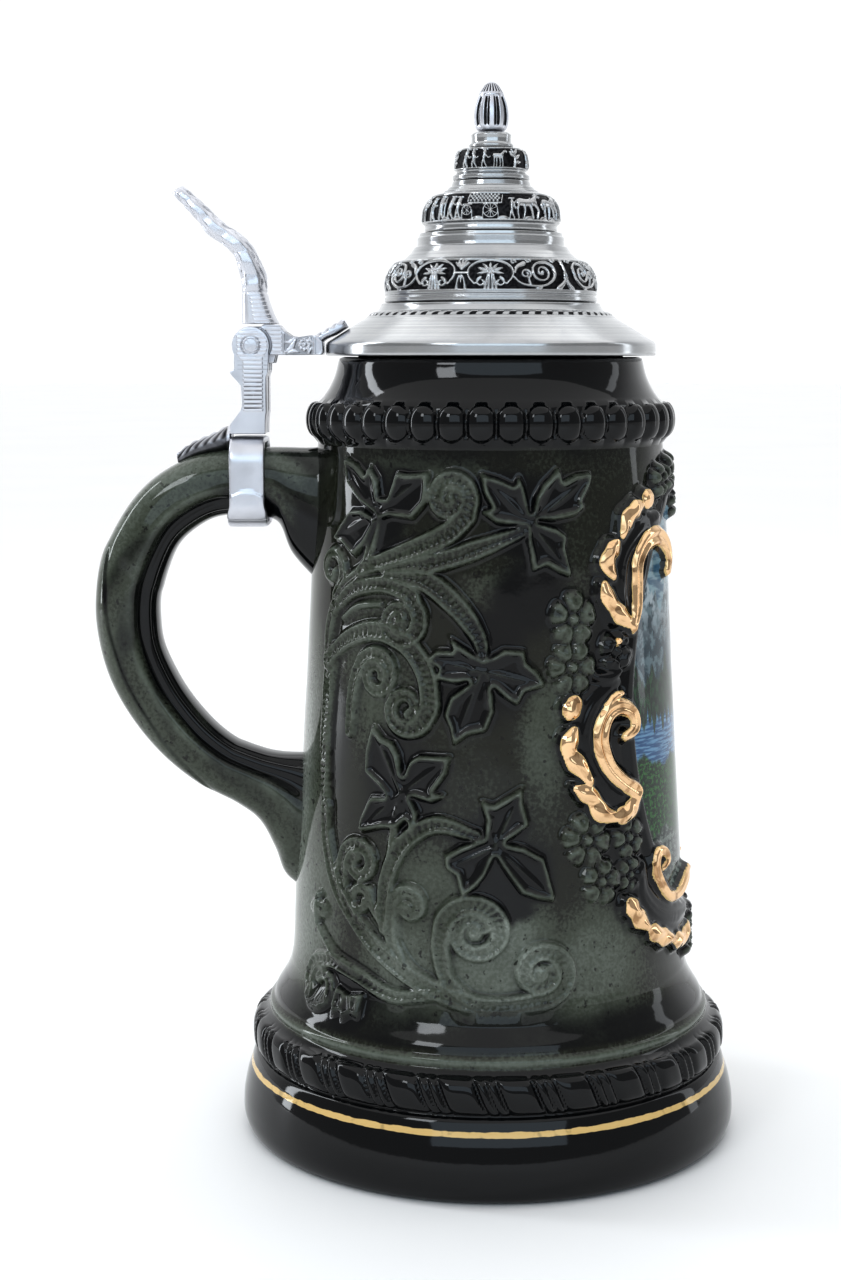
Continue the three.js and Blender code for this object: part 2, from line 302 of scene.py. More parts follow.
def strip_uv(points, closed):
    """One rectangle of UV for the skin over rows of rings: s round the ring, t along the rows."""
    columns = points.shape[1]
    steps = np.linalg.norm(np.diff(points, axis=0), axis=2).mean(axis=1)
    if closed:
        steps = np.r_[steps, np.linalg.norm(points[-1] - points[0], axis=1).mean()]
    t = np.r_[0, np.cumsum(steps)]
    t = 0.02 + 0.96 * t / t[-1]
    s = np.arange(columns) / columns
    left, low = np.meshgrid(s, t[:-1])
    high = np.broadcast_to(t[1:, None], low.shape)
    wide = left + 1 / columns
    uv = np.stack([left, low, wide, low, wide, high, left, high], axis=-1)
    return uv.reshape(-1, 2), s, t


def tube(name, points, attributes, poles=(None, None), closed=False):
    """A skin over rows of points, each row a ring. Its ends are closed by poles, or by joining
    the last row to the first."""
    rows, columns = points.shape[:2]
    index = np.arange(rows * columns).reshape(rows, columns)
    right = np.roll(index, -1, axis=1)
    if closed:
        lower, upper = slice(None), np.r_[1:rows, 0]
    else:
        lower, upper = slice(0, rows - 1), np.arange(1, rows)
    quads = np.stack([index[lower], right[lower], right[upper], index[upper]], axis=-1)
    faces = quads.reshape(-1, 4).tolist()
    uv, s, t = strip_uv(points, closed)
    vertices = points.reshape(-1, 3)
    values = {k: np.asarray(v).reshape(-1) for k, v in attributes.items()}
    for end, pole in enumerate(() if closed else poles):
        ring, other = (index[-1], right[-1]) if end else (right[0], index[0])
        edge, tip = (t[-1], 1.0) if end else (t[0], 0.0)
        pole = points[-end].mean(axis=0) if pole is None else np.asarray(pole, float)
        fan = np.column_stack([ring, other, np.full(columns, len(vertices))])
        vertices = np.vstack([vertices, pole])
        faces += fan.tolist()
        first, second = (s, s + 1 / columns) if end else (s + 1 / columns, s)
        edges = np.full(columns, edge)
        corners = [first, edges, second, edges, (first + second) / 2, np.full(columns, tip)]
        uv = np.vstack([uv, np.column_stack(corners).reshape(-1, 2)])
        values = {k: np.r_[v, v[ring].mean()] for k, v in values.items()}
    return mesh_object(name, vertices, faces, values, uv)


def turned(name, outline, columns, height=None, attributes=None, closed=False):
    """A body of revolution. outline is [[radius, z], ...], up the outside and down the inside;
    it runs from pole to pole, or is closed on itself. height(angle, radius, z) and attributes,
    a dict of such functions, are worked out per point."""
    line = np.asarray(outline, float)
    if closed:
        ends = np.vstack([line[-1], line, line[0]])
        tangent, rings = np.gradient(ends, axis=0)[1:-1], line
    else:
        tangent, rings = np.gradient(line, axis=0)[1:-1], line[1:-1]
    tangent = tangent / (np.linalg.norm(tangent, axis=1)[:, None] + 1e-9)
    angle = np.arange(columns) * 2 * math.pi / columns
    a, r, z = np.broadcast_arrays(angle[None, :], rings[:, :1], rings[:, 1:])
    lift = height(a, r, z) if height else 0
    out = r + lift * tangent[:, 1:]
    up = z - lift * tangent[:, :1]
    points = np.stack([out * np.cos(a), out * np.sin(a), up], axis=-1)
    values = {k: f(a, r, z) for k, f in (attributes or {}).items()}
    poles = ([0, 0, line[0, 1]], [0, 0, line[-1, 1]])
    return tube(name, points, values, poles, closed)


def join(name, pieces):
    """Several objects made into one."""
    bpy.ops.object.select_all(action="DESELECT")
    for piece in pieces:
        piece.select_set(True)
    bpy.context.view_layer.objects.active = pieces[0]
    if len(pieces) > 1:
        bpy.ops.object.join()
    pieces[0].name = name
    return pieces[0]


def place(obj, body, material, slot, replaced):
    """Gives a finished piece its material and its body, and hides the CAD nodes it stands for; slot is not
    used.
    """
    obj.data.materials.clear()
    obj.data.materials.append(material)
    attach(obj, body)
    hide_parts(*replaced)


# ---- materials ----


class Nodes:
    """Short calls for the nodes that the finishes and the world share."""

    def __init__(self, tree):
        self.tree = tree

    def feed(self, socket, value):
        if isinstance(value, bpy.types.NodeSocket):
            self.tree.links.new(value, socket)
        else:
            socket.default_value = value

    def node(self, kind, inputs=(), **settings):
        made = self.tree.nodes.new("ShaderNode" + kind)
        for key, value in settings.items():
            setattr(made, key, value)
        for key, value in dict(inputs).items():
            self.feed(made.inputs[key], value)
        return made

    def value(self, name):
        return self.node("Attribute", attribute_name=name).outputs["Fac"]

    def position(self):
        return self.node("TexCoord").outputs["Object"]

    def noise(self, scale, detail, distortion=0.0):
        return self.node("TexNoise", {
            "Vector": self.position(), "Scale": scale, "Detail": detail, "Distortion": distortion,
            "Roughness": 0.55,
        }).outputs["Fac"]

    def step(self, value, low, high, out_low=0.0, out_high=1.0):
        return self.node("MapRange", {
            "Value": value, "From Min": low, "From Max": high, "To Min": out_low, "To Max": out_high,
        }, interpolation_type="SMOOTHSTEP").outputs[0]

    def math(self, operation, *values):
        return self.node("Math", enumerate(values), operation=operation).outputs[0]

    def mix(self, factor, a, b):
        """Two colours mixed; each is a socket or an (r, g, b)."""
        made = self.node("Mix", {0: factor}, data_type="RGBA")
        for socket, colour in ((made.inputs[6], a), (made.inputs[7], b)):
            self.feed(socket, colour if isinstance(colour, bpy.types.NodeSocket) else (*colour, 1.0))
        return made.outputs[2]

    def bump(self, height, strength, distance):
        return self.node("Bump", {"Height": height, "Strength": strength, "Distance": distance}).outputs[0]


class Shader(Nodes):
    """A new material; its settings are the shader's own inputs, in small letters."""

    def __init__(self, name, **settings):
        self.material = bpy.data.materials.new(name)
        self.material.use_nodes = True
        super().__init__(self.material.node_tree)
        self.set(**settings)

    def set(self, **settings):
        surface = self.tree.nodes["Principled BSDF"]
        for key, value in settings.items():
            self.feed(surface.inputs[key.replace("_", " ").title().replace("Ior", "IOR")], value)


BLACK_GLAZE = (0.0022, 0.0026, 0.0032)
GOLD = (0.86, 0.60, 0.36)
# the gilding's dark patches: brush streaks, and a painted dark reflection
GOLD_STREAK_AND_PAINTED_REFLECTION = (0.30, 0.16, 0.07)
LINE_GOLD = (0.66, 0.47, 0.20)


def speckled_olive(shader, pale_and_painted_light):
    """The mug's olive-grey glaze: clouds, fine stipple and dark iron specks, paler where it is thin, and
    palest where painted highlights and a painted reflection are laid in.
    """
    mix, step, noise = shader.mix, shader.step, shader.noise
    cloud = step(noise(45, 4, distortion=0.6), 0.3, 0.7, -0.13, 0.13)
    stipple = step(noise(1100, 2), 0.35, 0.65, -0.14, 0.14)
    thin = shader.math("ADD", pale_and_painted_light, shader.math("ADD", cloud, stipple))
    tone = mix(step(thin, 0.0, 0.5), (0.013, 0.014, 0.009), (0.058, 0.068, 0.050))
    tone = mix(step(thin, 0.45, 1.15), tone, (0.125, 0.142, 0.118))
    # the palest tone: painted highlight and painted reflection
    tone = mix(step(thin, 1.0, 1.7), tone, (0.29, 0.32, 0.285))
    return mix(step(noise(520, 2), 0.63, 0.70, 0, 0.85), tone, (0.005, 0.005, 0.004))


def painted_view(shader):
    """A generic alpine lake: sky, hills, pines, water and a meadow, in brush strokes."""
    mix, step = shader.mix, shader.step
    across, up = shader.value("wall_u"), shader.value("wall_z")

    def strokes(scale_u, scale_z, detail):
        place = shader.node("CombineXYZ", {
            "X": shader.math("MULTIPLY", across, scale_u), "Y": shader.math("MULTIPLY", up, scale_z),
        }).outputs[0]
        return shader.node("TexNoise", {"Vector": place, "Scale": 1.0, "Detail": detail}).outputs["Fac"]

    def brushed(grain, low, high, dark, light):
        return mix(step(strokes(*grain), low, high), dark, light)

    def above(level, swing, waves):
        """1 above a wavy line at height level, 0 below it."""
        line = shader.math("MULTIPLY_ADD", strokes(waves, 0.0, 4.0), swing, level - swing / 2)
        return step(shader.math("SUBTRACT", up, line), -0.8, 0.8)

    sky = brushed((0.12, 0.55, 3), 0.4, 0.62, (0.045, 0.11, 0.17), (0.20, 0.30, 0.34))
    hills = brushed((0.35, 0.3, 5), 0.47, 0.58, (0.012, 0.035, 0.05), (0.10, 0.15, 0.17))
    snow = step(strokes(0.3, 0.22, 5), 0.44, 0.54)
    hills = mix(shader.math("MULTIPLY", step(up, 132, 146), snow), hills, (0.34, 0.40, 0.43))
    pines = brushed((1.1, 0.35, 5), 0.45, 0.6, (0.003, 0.010, 0.007), (0.018, 0.06, 0.026))
    water = brushed((0.16, 1.5, 2), 0.42, 0.6, (0.02, 0.08, 0.19), (0.13, 0.27, 0.42))
    meadow = brushed((0.8, 0.9, 5), 0.46, 0.6, (0.003, 0.018, 0.007), (0.03, 0.12, 0.03))
    view = brushed((0.5, 0.7, 3), 0.45, 0.58, (0.02, 0.03, 0.028), (0.14, 0.17, 0.15))
    for level, swing, waves, part in ((84, 16, 0.10, meadow), (103, 16, 0.07, water), (113, 22, 0.55, pines),
                                      (125, 34, 0.13, hills), (146, 58, 0.075, sky)):
        view = mix(above(level, swing, waves), view, part)
    return view


def glaze_material():
    shader = Shader("glaze", roughness=0.06, ior=1.43)
    mix, step, noise, value = shader.mix, shader.step, shader.noise, shader.value
    gold, dark = value("gold"), value("dark")
    olive = speckled_olive(shader, value("pale_and_painted_light"))
    # paler on the crests: glaze breaking thin, and painted highlight
    raised = shader.math("MULTIPLY", value("edge"), noise(260, 3))
    olive = mix(step(raised, 0.15, 0.75), olive, (0.125, 0.145, 0.118))
    # the dark value: black glaze, sprayed on and darker in the relief's hollows, and on the handle also
    # painted shade
    feather = shader.math("ADD", dark, step(noise(60, 4), 0.3, 0.7, -0.14, 0.14))
    colour = mix(step(feather, 0.12, 0.92), olive, BLACK_GLAZE)
    colour = mix(step(value("panel"), 0.4, 0.6), colour, painted_view(shader))
    ragged = shader.math("ADD", gold, step(noise(260, 3), 0.3, 0.7, -0.16, 0.16))
    gilt, leaf = step(ragged, 0.42, 0.58), step(gold, 0.7, 0.85)
    # dark patches on the gilding: partly brush streaks, partly a painted dark reflection
    streaks_and_painted_reflection = step(noise(150, 5, distortion=1.2), 0.5, 0.66, 0, 0.75)
    gilding = mix(leaf, LINE_GOLD, mix(streaks_and_painted_reflection, GOLD, GOLD_STREAK_AND_PAINTED_REFLECTION))
    shader.set(base_color=mix(gilt, colour, gilding), metallic=shader.math("MULTIPLY", gilt, leaf),
               normal=shader.bump(noise(140, 3), 0.07, 0.0004))
    return shader.material


# ---- the mug's relief ----
# u is the distance round the wall from the middle of the painted front, taken at a radius of
# UNROLL_R, and v is the height z. The two sides of the mug are mirror images.

UNROLL_R = 50
WALL_LOW, WALL_HIGH = 37, 184
VINE = dict(height=2.6, section=rim_section, notch=0.5, pitch=1.6, lean=3.2)
SMOOTH_STEM = dict(height=2.0, section=groove_section)
STEM_GROWTH = 1.2
LEAF_HEIGHT = 2.5


def blurred(grid, cells):
    """The grid averaged over a square of 2 * cells + 1."""
    for axis in (0, 1):
        pad = [(0, 0), (0, 0)]
        pad[axis] = (cells + 1, cells)
        total = np.cumsum(np.pad(grid, pad, mode="edge"), axis=axis)
        high = [slice(None), slice(None)]
        low = [slice(None), slice(None)]
        high[axis], low[axis] = slice(2 * cells + 1, None), slice(None, -2 * cells - 1)
        grid = (total[tuple(high)] - total[tuple(low)]) / (2 * cells + 1)
    return grid


def outline_leaf(relief, centre, outline):
    """A leaf with a raised rim, sunk and black inside, and ribs from its centre to its tips."""
    edge = np.array(outline, float)
    low, high = edge.min(axis=0) - 1, edge.max(axis=0) + 1
    rows = slice(*np.searchsorted(relief.v, [low[1], high[1]]))
    columns = slice(*np.searchsorted(relief.u, [low[0], high[0]]))
    u, v = np.meshgrid(relief.u[columns], relief.v[rows])
    nearest = np.full(u.shape, 99.0)
    inside = np.zeros(u.shape, bool)
    for start, end in zip(edge, np.roll(edge, -1, axis=0)):
        nearest = np.minimum(nearest, to_segment(u, v, start, end)[0])
        du, dv = end - start
        crosses = (start[1] > v) != (end[1] > v)
        inside ^= crosses & (u < start[0] + (v - start[1]) * du / (dv if dv else 1e-9))
    depth = np.where(inside, nearest, 0)
    bowl = 0.34 + 0.10 * rise(np.hypot(u - centre[0], v - centre[1]), 1, 8)
    top = LEAF_HEIGHT * (bowl + 0.62 * bell(depth - 1.0, 0.7)) * rise(depth, 0, 0.8)
    reach = np.hypot(*(edge - centre).T)
    tips = edge[(reach > np.roll(reach, 1)) & (reach > np.roll(reach, -1)) & (reach > 5)]
    for tip in tips:
        off, t = to_segment(u, v, centre, tip, 0.86)
        rib = LEAF_HEIGHT * (0.74 - 0.12 * t) * bell(off, 0.75) * rise(depth, 0.3, 0.9)
        top = np.maximum(top, rib)
    relief.raise_to(rows, columns, top, "leaf", rise(depth, 0.5, 1.3))
    relief.shade(centre, 15, 1.0, "dark")


def flower(relief, centre, size, petals, turn, height=2.6, layer=None):
    """A blossom: round petals parted by grooves, about a bead in a hollow."""
    rows, columns = relief.window(*centre, size)
    du = relief.u[columns][None, :] - centre[0]
    dv = relief.v[rows][:, None] - centre[1]
    away = np.hypot(du, dv) / size
    share = (np.arctan2(dv, du) - math.radians(turn)) * petals / (2 * math.pi)
    off = np.abs(np.mod(share + 0.5, 1) - 0.5)
    q = np.minimum(away / (1 - 0.24 * (2 * off) ** 3), 1)
    parting = 1 - 0.6 * bell((0.5 - off) * away, 0.085)
    vein = 1 - 0.2 * bell(off * away, 0.04)
    hollow = 1 - 0.5 * bell(away - 0.26, 0.1)
    top = height * pillow_section(q) * parting * vein * hollow
    relief.raise_to(rows, columns, top, layer, fall(q, 0.8, 1))
    relief.bump(centre, 0.17 * size, height * 0.3, base=height * 0.6)


# Each run is a route, in (u, z), and its half-widths from start to end.
# The cross-cut ones come first, from the bottom up, and then the smooth stems.
VINE_RUNS = (
    ([(127, 92), (126, 84), (122, 74), (115, 66), (105, 57), (92, 50), (80, 46.5), (69, 47.5),
        *coil((67.5, 54.8), 7, 258, -1.25, 2.2)], [1.6, 2, 2.2, 2.3, 2.1, 1.5]),
    ([(92, 49), (103, 47.5), (113, 51), (121, 53), *coil((125.5, 46), 6.6, 95, -1.15, 2)],
        [1.2, 1.7, 2, 1.8, 1.3]),
    ([(84, 48), (89.5, 53), (91.3, 60), *coil((83.3, 65), 8, -8, 1.45, 2.6)],
        [1.4, 1.9, 2.2, 2.1, 1.6, 1.2]),
    ([(115, 66), (118.5, 72), (119.4, 78), *coil((114, 79.5), 5.4, 0, 1.2, 1.6)],
        [1.1, 1.6, 1.7, 1.5, 1.1]),
    ([(106, 64), (105.5, 76), (101, 86), (93, 91.3), (83, 89)], [1.2, 1.9, 2, 1.9, 1.2]),
    ([(129, 129), (121, 135), (111, 138), (102, 135.5), (96.5, 129), (95, 121.5),
        *coil((101.5, 119.5), 6, 190, 1.15, 1.6)], [1.6, 2.2, 2.4, 2.5, 2.2, 1.6, 1.1]),
    ([(119, 112), (118.5, 121), (117, 127), *coil((110.5, 127), 6, 10, 1.5, 1.4)], [1.3, 1.7, 1.7, 1.4, 1]),
    ([(127, 142), (119, 147.5), (109, 149.6), (101, 147.5), *coil((103.6, 140.8), 6, 128, 1.2, 2.4)],
        [1.2, 1.7, 2, 1.9, 1.5, 1.2]),
    ([(116, 153), (103, 157.5), (92, 162), (86.5, 166.5), *coil((90.6, 171), 5.6, 215, -1.2, 1.9)],
        [1.6, 2.1, 2.5, 2.3, 2, 1.4]),
    ([(109, 153), (96, 155), (83, 159), (72, 163)], [1, 2.1, 2.2, 1.2]),
    ([(107, 152), (97, 151), (88.5, 145), (83, 138), (81.6, 133)], [1.2, 2.4, 2.6, 2.2, 1.2]),
)
STEM_RUNS = (
    ([(90, 49), (98, 53.5), (103, 60), (104, 66), *coil((99.3, 70.5), 4.7, -20, 1.1, 1.4)],
        [1.4, 1.8, 1.8, 1.5, 1.1]),
    ([(105, 64), (109, 69), (110.6, 73), *coil((113, 70), 3.6, 125, -0.9, 1.2)], [1, 1.3, 1.3, 1]),
    ([(113, 51), (122, 55), (128, 60)], [1, 1.1, 0.8]),
    ([(105, 78), (104, 88), (102, 98)], [1, 1.1, 0.8]),
    ([(129, 128), (129, 138), (124, 147), (114, 154)], [1.8, 2, 2, 1.6]),
    ([(127, 146), (123.5, 151), *coil((129, 152), 5.4, 195, -1, 1.3)], [1.2, 1.5, 1.5, 1]),
    ([(115, 154), (113, 160), (111, 166)], [1.6, 1.5, 1.2]),
)
# the eyes of the large scrolls: place, half-width and height
EYES = (
    ((67.6, 54.8), 2.4, 2), ((99.3, 70.5), 1.9, 1.9), ((83.3, 65), 2.2, 2), ((103.6, 140.8), 2.4, 2.2),
    ((90.6, 171), 2, 2.2),
)
# each leaf: its centre, and its outline from notch to tip to notch
LEAVES = (
    ((111.5, 167), [(111.5, 166), (118, 169.5), (123, 173.5), (125.5, 181), (119.5, 179), (116, 176.5),
        (115, 179.5), (111.5, 175.5), (110.5, 171), (108.5, 171), (106, 177.5), (102.5, 177), (96, 177.5),
        (96, 173), (96.5, 169.5), (100.5, 165.5), (107.5, 166), (110.5, 165), (114.5, 159), (119, 155.5),
        (124, 158.5), (129, 159.5), (121.5, 167.5), (117, 168)]),
    ((69.5, 165), [(71, 164), (78.5, 165), (83, 168), (80, 169), (82, 172.5), (83, 177.5), (77.5, 176),
        (74, 174.5), (72.5, 177), (71, 174), (69.5, 168), (68.5, 171.5), (66.5, 174.5), (61.5, 179),
        (60.5, 175.5), (57, 177), (51.5, 177.5), (52.5, 174), (55, 170), (53.5, 169), (57, 166.5),
        (63, 165.5), (67.5, 165.5), (62.5, 164), (59.5, 162), (60, 159), (58, 151.5), (61.5, 152.5),
        (65.5, 154.5), (69.5, 153), (70, 157), (71, 161)]),
    ((82, 129.5), [(81.5, 132.5), (85, 134.5), (91, 138), (89.5, 134.5), (93.5, 134.5), (96.5, 132),
        (93, 129.5), (94.5, 127), (88.5, 126), (85.5, 126.5), (90, 123), (91.5, 118.5), (90, 115),
        (89, 110.5), (85, 113.5), (80.5, 114.5), (78.5, 119.5), (79, 125), (75.5, 122), (73, 120.5),
        (71, 124), (65.5, 125.5), (67.5, 129), (70.5, 131.5), (71, 134.5), (76.5, 135), (79, 133.5)]),
    ((102, 98.5), [(108.5, 99.5), (113, 102.5), (113, 108), (111, 115.5), (107.5, 112), (104.5, 111),
        (102.5, 108), (101.5, 103.5), (100, 107), (97.5, 108.5), (89, 108.5), (90, 104), (93, 99.5),
        (90, 98.5), (94, 96.5), (99, 97.5), (97, 94), (97.5, 90), (99, 87), (100.5, 91.5), (102.5, 89.5),
        (107, 89), (114.5, 87), (114, 91), (111, 97), (106.5, 97.5)]),
    ((78.5, 86.5), [(81.5, 89), (81, 93), (82.5, 98), (79, 97), (71.5, 101.5), (71.5, 97), (70, 91.5),
        (75.5, 87.5), (71.5, 86.5), (66.5, 83.5), (65.5, 80), (63.5, 72), (68.5, 73), (72.5, 74.5),
        (76, 79.5), (78.5, 83.5), (80.5, 79), (82.5, 76.5), (86.5, 73), (88, 79), (90.5, 80.5), (91, 84),
        (87, 86.5)]),
    ((115.5, 43.5), [(111, 47), (115.5, 46), (120, 47.5), (120.5, 42), (119, 39), (117, 40.5),
        (115.5, 38.5), (113.5, 40.5), (111, 40), (110.5, 43)]),
)


def vines(relief):
    def stroke(route, width, **style):
        relief.stroke(route, STEM_GROWTH * np.atleast_1d(width), **style)

    for route, width in VINE_RUNS:
        stroke(route, width, **VINE)
    for route, width in STEM_RUNS:
        stroke(route, width, **SMOOTH_STEM)
    for eye in EYES:
        relief.bump(*eye)
    # the stem behind with its cross-cut bark, a bud on its side stem, and a thin line in the knot
    stroke([(128, 131), (129, 120), (129, 105), (127, 90)], [2.6, 2.3, 2, 1.6], height=2.2, notch=0.5,
           pitch=1.7, lean=0.4)
    relief.bump((129, 65), (2.6, 4.6), 1.8, turn=90)
    stroke([(129, 61), (129, 69)], 0.6, height=2.3)
    stroke([(124, 140), (118, 143.5), (110, 144.5)], [0.6, 0.9, 0.4], height=1.3)
    for centre, outline in LEAVES:
        outline_leaf(relief, centre, outline)


LOBE_WIDTHS = np.array([1.2, 2.6, 2.1, 2.8, 1.9, 1.2])


def frame_scroll(relief, band, lobes, curl, curl_width):
    """One side scroll of the picture frame: a black fluted band, gilt lobes along its outer edge
    and a gilt inner curl."""
    relief.stroke(band, [2.5, 5, 5.4, 5, 3], height=1.7, section=flat_section, layer="black")
    relief.stroke(band, [0.5, 1.5, 1.7, 1.5, 0.5], height=2.5, section=groove_section, layer="black")
    for lobe in lobes:
        relief.stroke(lobe, LOBE_WIDTHS + 0.9, height=2.7, layer="black")
    for lobe in lobes:
        relief.stroke(lobe, LOBE_WIDTHS, height=3.4, notch=0.2, pitch=6.5, lean=2, layer="gold")
    relief.stroke(curl, np.add(curl_width, 0.7), height=2.2, layer="black")
    relief.stroke(curl, curl_width, height=3.5, section=groove_section, layer="gold")


# the frame's scrolls from the top down: band, lobes, inner curl and the curl's half-widths
FRAME_SCROLLS = (
    ([(25, 165), (35, 161.5), (41.5, 156), (43, 148.5), (42, 142.5)],
     [[(30, 170), (33, 169.5)], [(35, 168.5), (40, 166), (43, 161.5)],
      [(45, 159.5), (48.2, 155.5), (46.5, 151.5)],
      [(49.5, 149.5), (48, 146), (44.5, 142), (39.5, 138.5)]],
     [(20.5, 151), (19.5, 154.5), (21.5, 158), (26.5, 160.3), (33, 159), (37, 154.5), (37.5, 148.5),
      (38, 143), (39.5, 138)],
     [1.6, 2.3, 2.8, 3, 2.8, 2.5, 2.3, 2.2, 1.4]),
    ([(45.5, 125.5), (52, 121), (55.5, 114), (55, 107), (50, 99.5), (43, 95.5)],
     [[(58.5, 121.5), (60.3, 118)], [(59, 114.5), (60.5, 109.5), (57.5, 105), (55, 101.5)],
      [(58.5, 100), (54.5, 97.5), (52, 93.5), (47, 91.5)], [(47, 91.5), (43, 92.8), (40, 96)]],
     [(43.5, 111.5), (40, 113.2), (40.6, 117), (45, 119), (49.3, 117.2), (51.3, 111.5), (49.3, 105),
      (45, 100.5), (40, 97.3)],
     [1.3, 2, 2.3, 2.6, 2.8, 2.8, 2.5, 2.3, 2.4]),
    ([(38.5, 78), (38.5, 71), (33, 65), (24, 61.5), (14, 61.5)],
     [[(44, 70), (41.5, 66), (38, 62.5)], [(37, 61.5), (31.5, 58.5), (26.5, 56.8)],
      [(25.5, 56), (19, 55), (13.5, 57)]],
     [(30.5, 76), (27.8, 77.5), (29, 80), (32.6, 80), (33.5, 76), (31, 71.5), (27, 68), (21.5, 67.5),
      (15.5, 69.5), (10, 71.5)],
     [0.9, 1.4, 1.7, 1.9, 1.8, 1.5, 1.5, 1.8, 2, 1.3]),
)
# centre, size, petals and turn
BLOSSOMS = (
    ((58, 141.5), 7, 5, 20), ((58.5, 129.7), 7, 6, 0), ((55.3, 86.8), 7.2, 6, 10), ((51.5, 76), 6, 5, 30),
    ((42.5, 86), 5.6, 5, 0), ((42.5, 76.5), 4.8, 5, 40),
)
# the blossoms over and under the picture: centre and size
SMALL_BLOSSOMS = (
    ((4, 176), 5), ((13, 175), 5.6), ((22, 174), 4.8), ((7, 167.5), 4.4), ((4.5, 57), 4.8),
    ((12, 52.5), 4.6), ((1.5, 50), 3.8),
)


def picture_frame(relief):
    """The rocaille frame of the painted front, one half of it, up to u = 60."""
    relief.stroke([(2, 172), (16, 169), (28, 159), (36, 143), (40.5, 124), (40.5, 108), (37, 90),
                   (30, 74), (18, 63), (2, 59)], 2.2, height=1.4, section=flat_section, layer="black")
    for scroll in FRAME_SCROLLS:
        frame_scroll(relief, *scroll)
    relief.stroke([(43.5, 122.5), (47, 121.8), (50, 119.5)], [0.6, 1.1, 0.6], height=3.2, layer="gold")
    relief.stroke([(52, 127), (48, 126.5), (44.5, 128)], [1.4, 2.4, 1.2], height=2.6, layer="black")
    for blossom in BLOSSOMS:
        flower(relief, *blossom)
    flower(relief, (45, 132.8), 5.8, 4, 30, height=3.2, layer="black")
    relief.bump((45.5, 135.2), 1.1, 3.7, layer="gold")
    for centre, size in SMALL_BLOSSOMS:
        flower(relief, centre, size, 5, 15, height=3.4)
        relief.shade(centre, size + 4, 1.0, "dark")
    inside = (np.abs(relief.u[None, :]) / 38.5) ** 2.4 + (np.abs(relief.v[:, None] - 115.5) / 53) ** 2.4
    relief.layers["panel"] = fall(inside, 0.97, 1.03)


# where the glaze runs thin and pale, with one painted reflection, and where black was sprayed: (u, z), half
# size, amount
PALE_SPOTS = (
    ((78, 58), (24, 24), 1), ((98, 55), (20, 22), 0.8), ((52, 56), (20, 24), 0.75),
    ((140, 64), (26, 34), 0.9), ((66, 112), (10, 22), 0.62), ((100, 176), (24, 9), 0.5),
    # (151, 98) is a painted reflection down the wall's edge beside the handle
    ((88, 176), (10, 8), 0.5), ((70, 44), (40, 8), 0.5), ((151, 98), (25, 68), 1.5),
    ((112, 128), (16, 34), 0.36), ((78, 148), (14, 10), 0.2), ((93, 74), (18, 16), 0.5),
)
BLACK_SPOTS = (
    ((70, 147), (17, 15), 1), ((78, 139), (14, 10), 0.9), ((72, 172), (26, 12), 0.7),
    ((74, 80), (16, 15), 1), ((74, 71), (9, 6), 1), ((112, 170), (20, 18), 0.75),
    ((104, 102), (17, 20), 0.7), ((81, 126), (17, 16), 0.75), ((45, 116), (15, 66), 0.85),
    ((42, 80), (14, 24), 0.7), ((124, 110), (8, 26), 0.6),
)


def wall_relief():
    relief = Relief((-3, UNROLL_R * math.pi + 2), (WALL_LOW - 1, WALL_HIGH + 1), 0.4)
    vines(relief)
    picture_frame(relief)
    for centre, size, amount in BLACK_SPOTS:
        relief.shade(centre, size, amount, "dark")
    for centre, size, amount in PALE_SPOTS:
        relief.shade(centre, size, amount, "pale_and_painted_light")
    # paler and less black on the relief's crests, where the glaze breaks thin, and as painted highlight;
    # raised stems paler, hollows darker
    edge = np.clip((relief.height - blurred(relief.height, 3)) / 0.5, 0, 1)
    relief.layers["edge"] = blurred(edge, 1)
    sunk = np.clip((blurred(relief.height, 4) - relief.height) / 1.0, 0, 1)
    raised = rise(relief.height, 0.3, 1.6)
    stems = raised * (1 - relief.layer("leaf")) * 0.22
    relief.layers["pale_and_painted_light"] = np.maximum(relief.layer("pale_and_painted_light"), stems) + 0.5 * relief.layers["edge"]
    dark = np.maximum(relief.layer("dark"), relief.layer("leaf"))
    dark = np.clip(dark + 0.7 * sunk - 0.35 * stems - 0.8 * relief.layers["edge"], 0, 1)
    relief.layers["dark"] = np.maximum(dark, relief.layer("black"))
    relief.layers["panel"] *= fall(relief.height, 0.25, 0.9)
    relief.height = blurred(relief.height, 1)
    return relief


# ---- the mug ----

FOOT_LINE = [(61.5, 0), (63.6, 0.5), (65.2, 2), (66, 4.6), (66, 8), (65.6, 11), (64.8, 14.5), (63.9, 17.2),
    (63.2, 19.4), (62.4, 20.9), (61.4, 21.4)]
ROPE_LINE = [(61.0, 22), (61.2, 24.5), (61.1, 28), (60.2, 30.9)]
SCOTIA_LINE = [(59.2, 31.8), (58.5, 32.6), (58.7, 33.6), (58.5, 34.6), (57.6, 35.4), (57, 37.2),
    (55.4, 39.8), (54.1, 42)]
WALL_LINE = [(53, 45), (52.2, 51), (51.5, 70), (49.6, 100), (47.6, 135), (46.6, 155), (45, 183)]
BEAD_LINE = [(45.2, 184), (45.4, 186), (45.4, 191.6), (44.9, 193.4)]
NECK_LINE = [(43.6, 194.7), (42.4, 196.4), (41.5, 198), (40.6, 200), (40, 202), (39.6, 203.8)]
LIP_LINE = [(39.3, 204.6), (38.4, 205), (37.2, 205), (36.1, 204.6), (35.5, 203.5)]
CAVITY_LINE = [(35.7, 200), (37.4, 196), (39.4, 192), (40.4, 184), (42, 150), (44.4, 105), (46.2, 60),
    (46.2, 26), (45, 19), (41, 14), (34, 12.4)]
BASE_LINE = [(0, 0.9), (52, 0.9), (53.5, 0.3), (54.5, 0)]
ROPE_PERIODS, BEADS = 27, 40
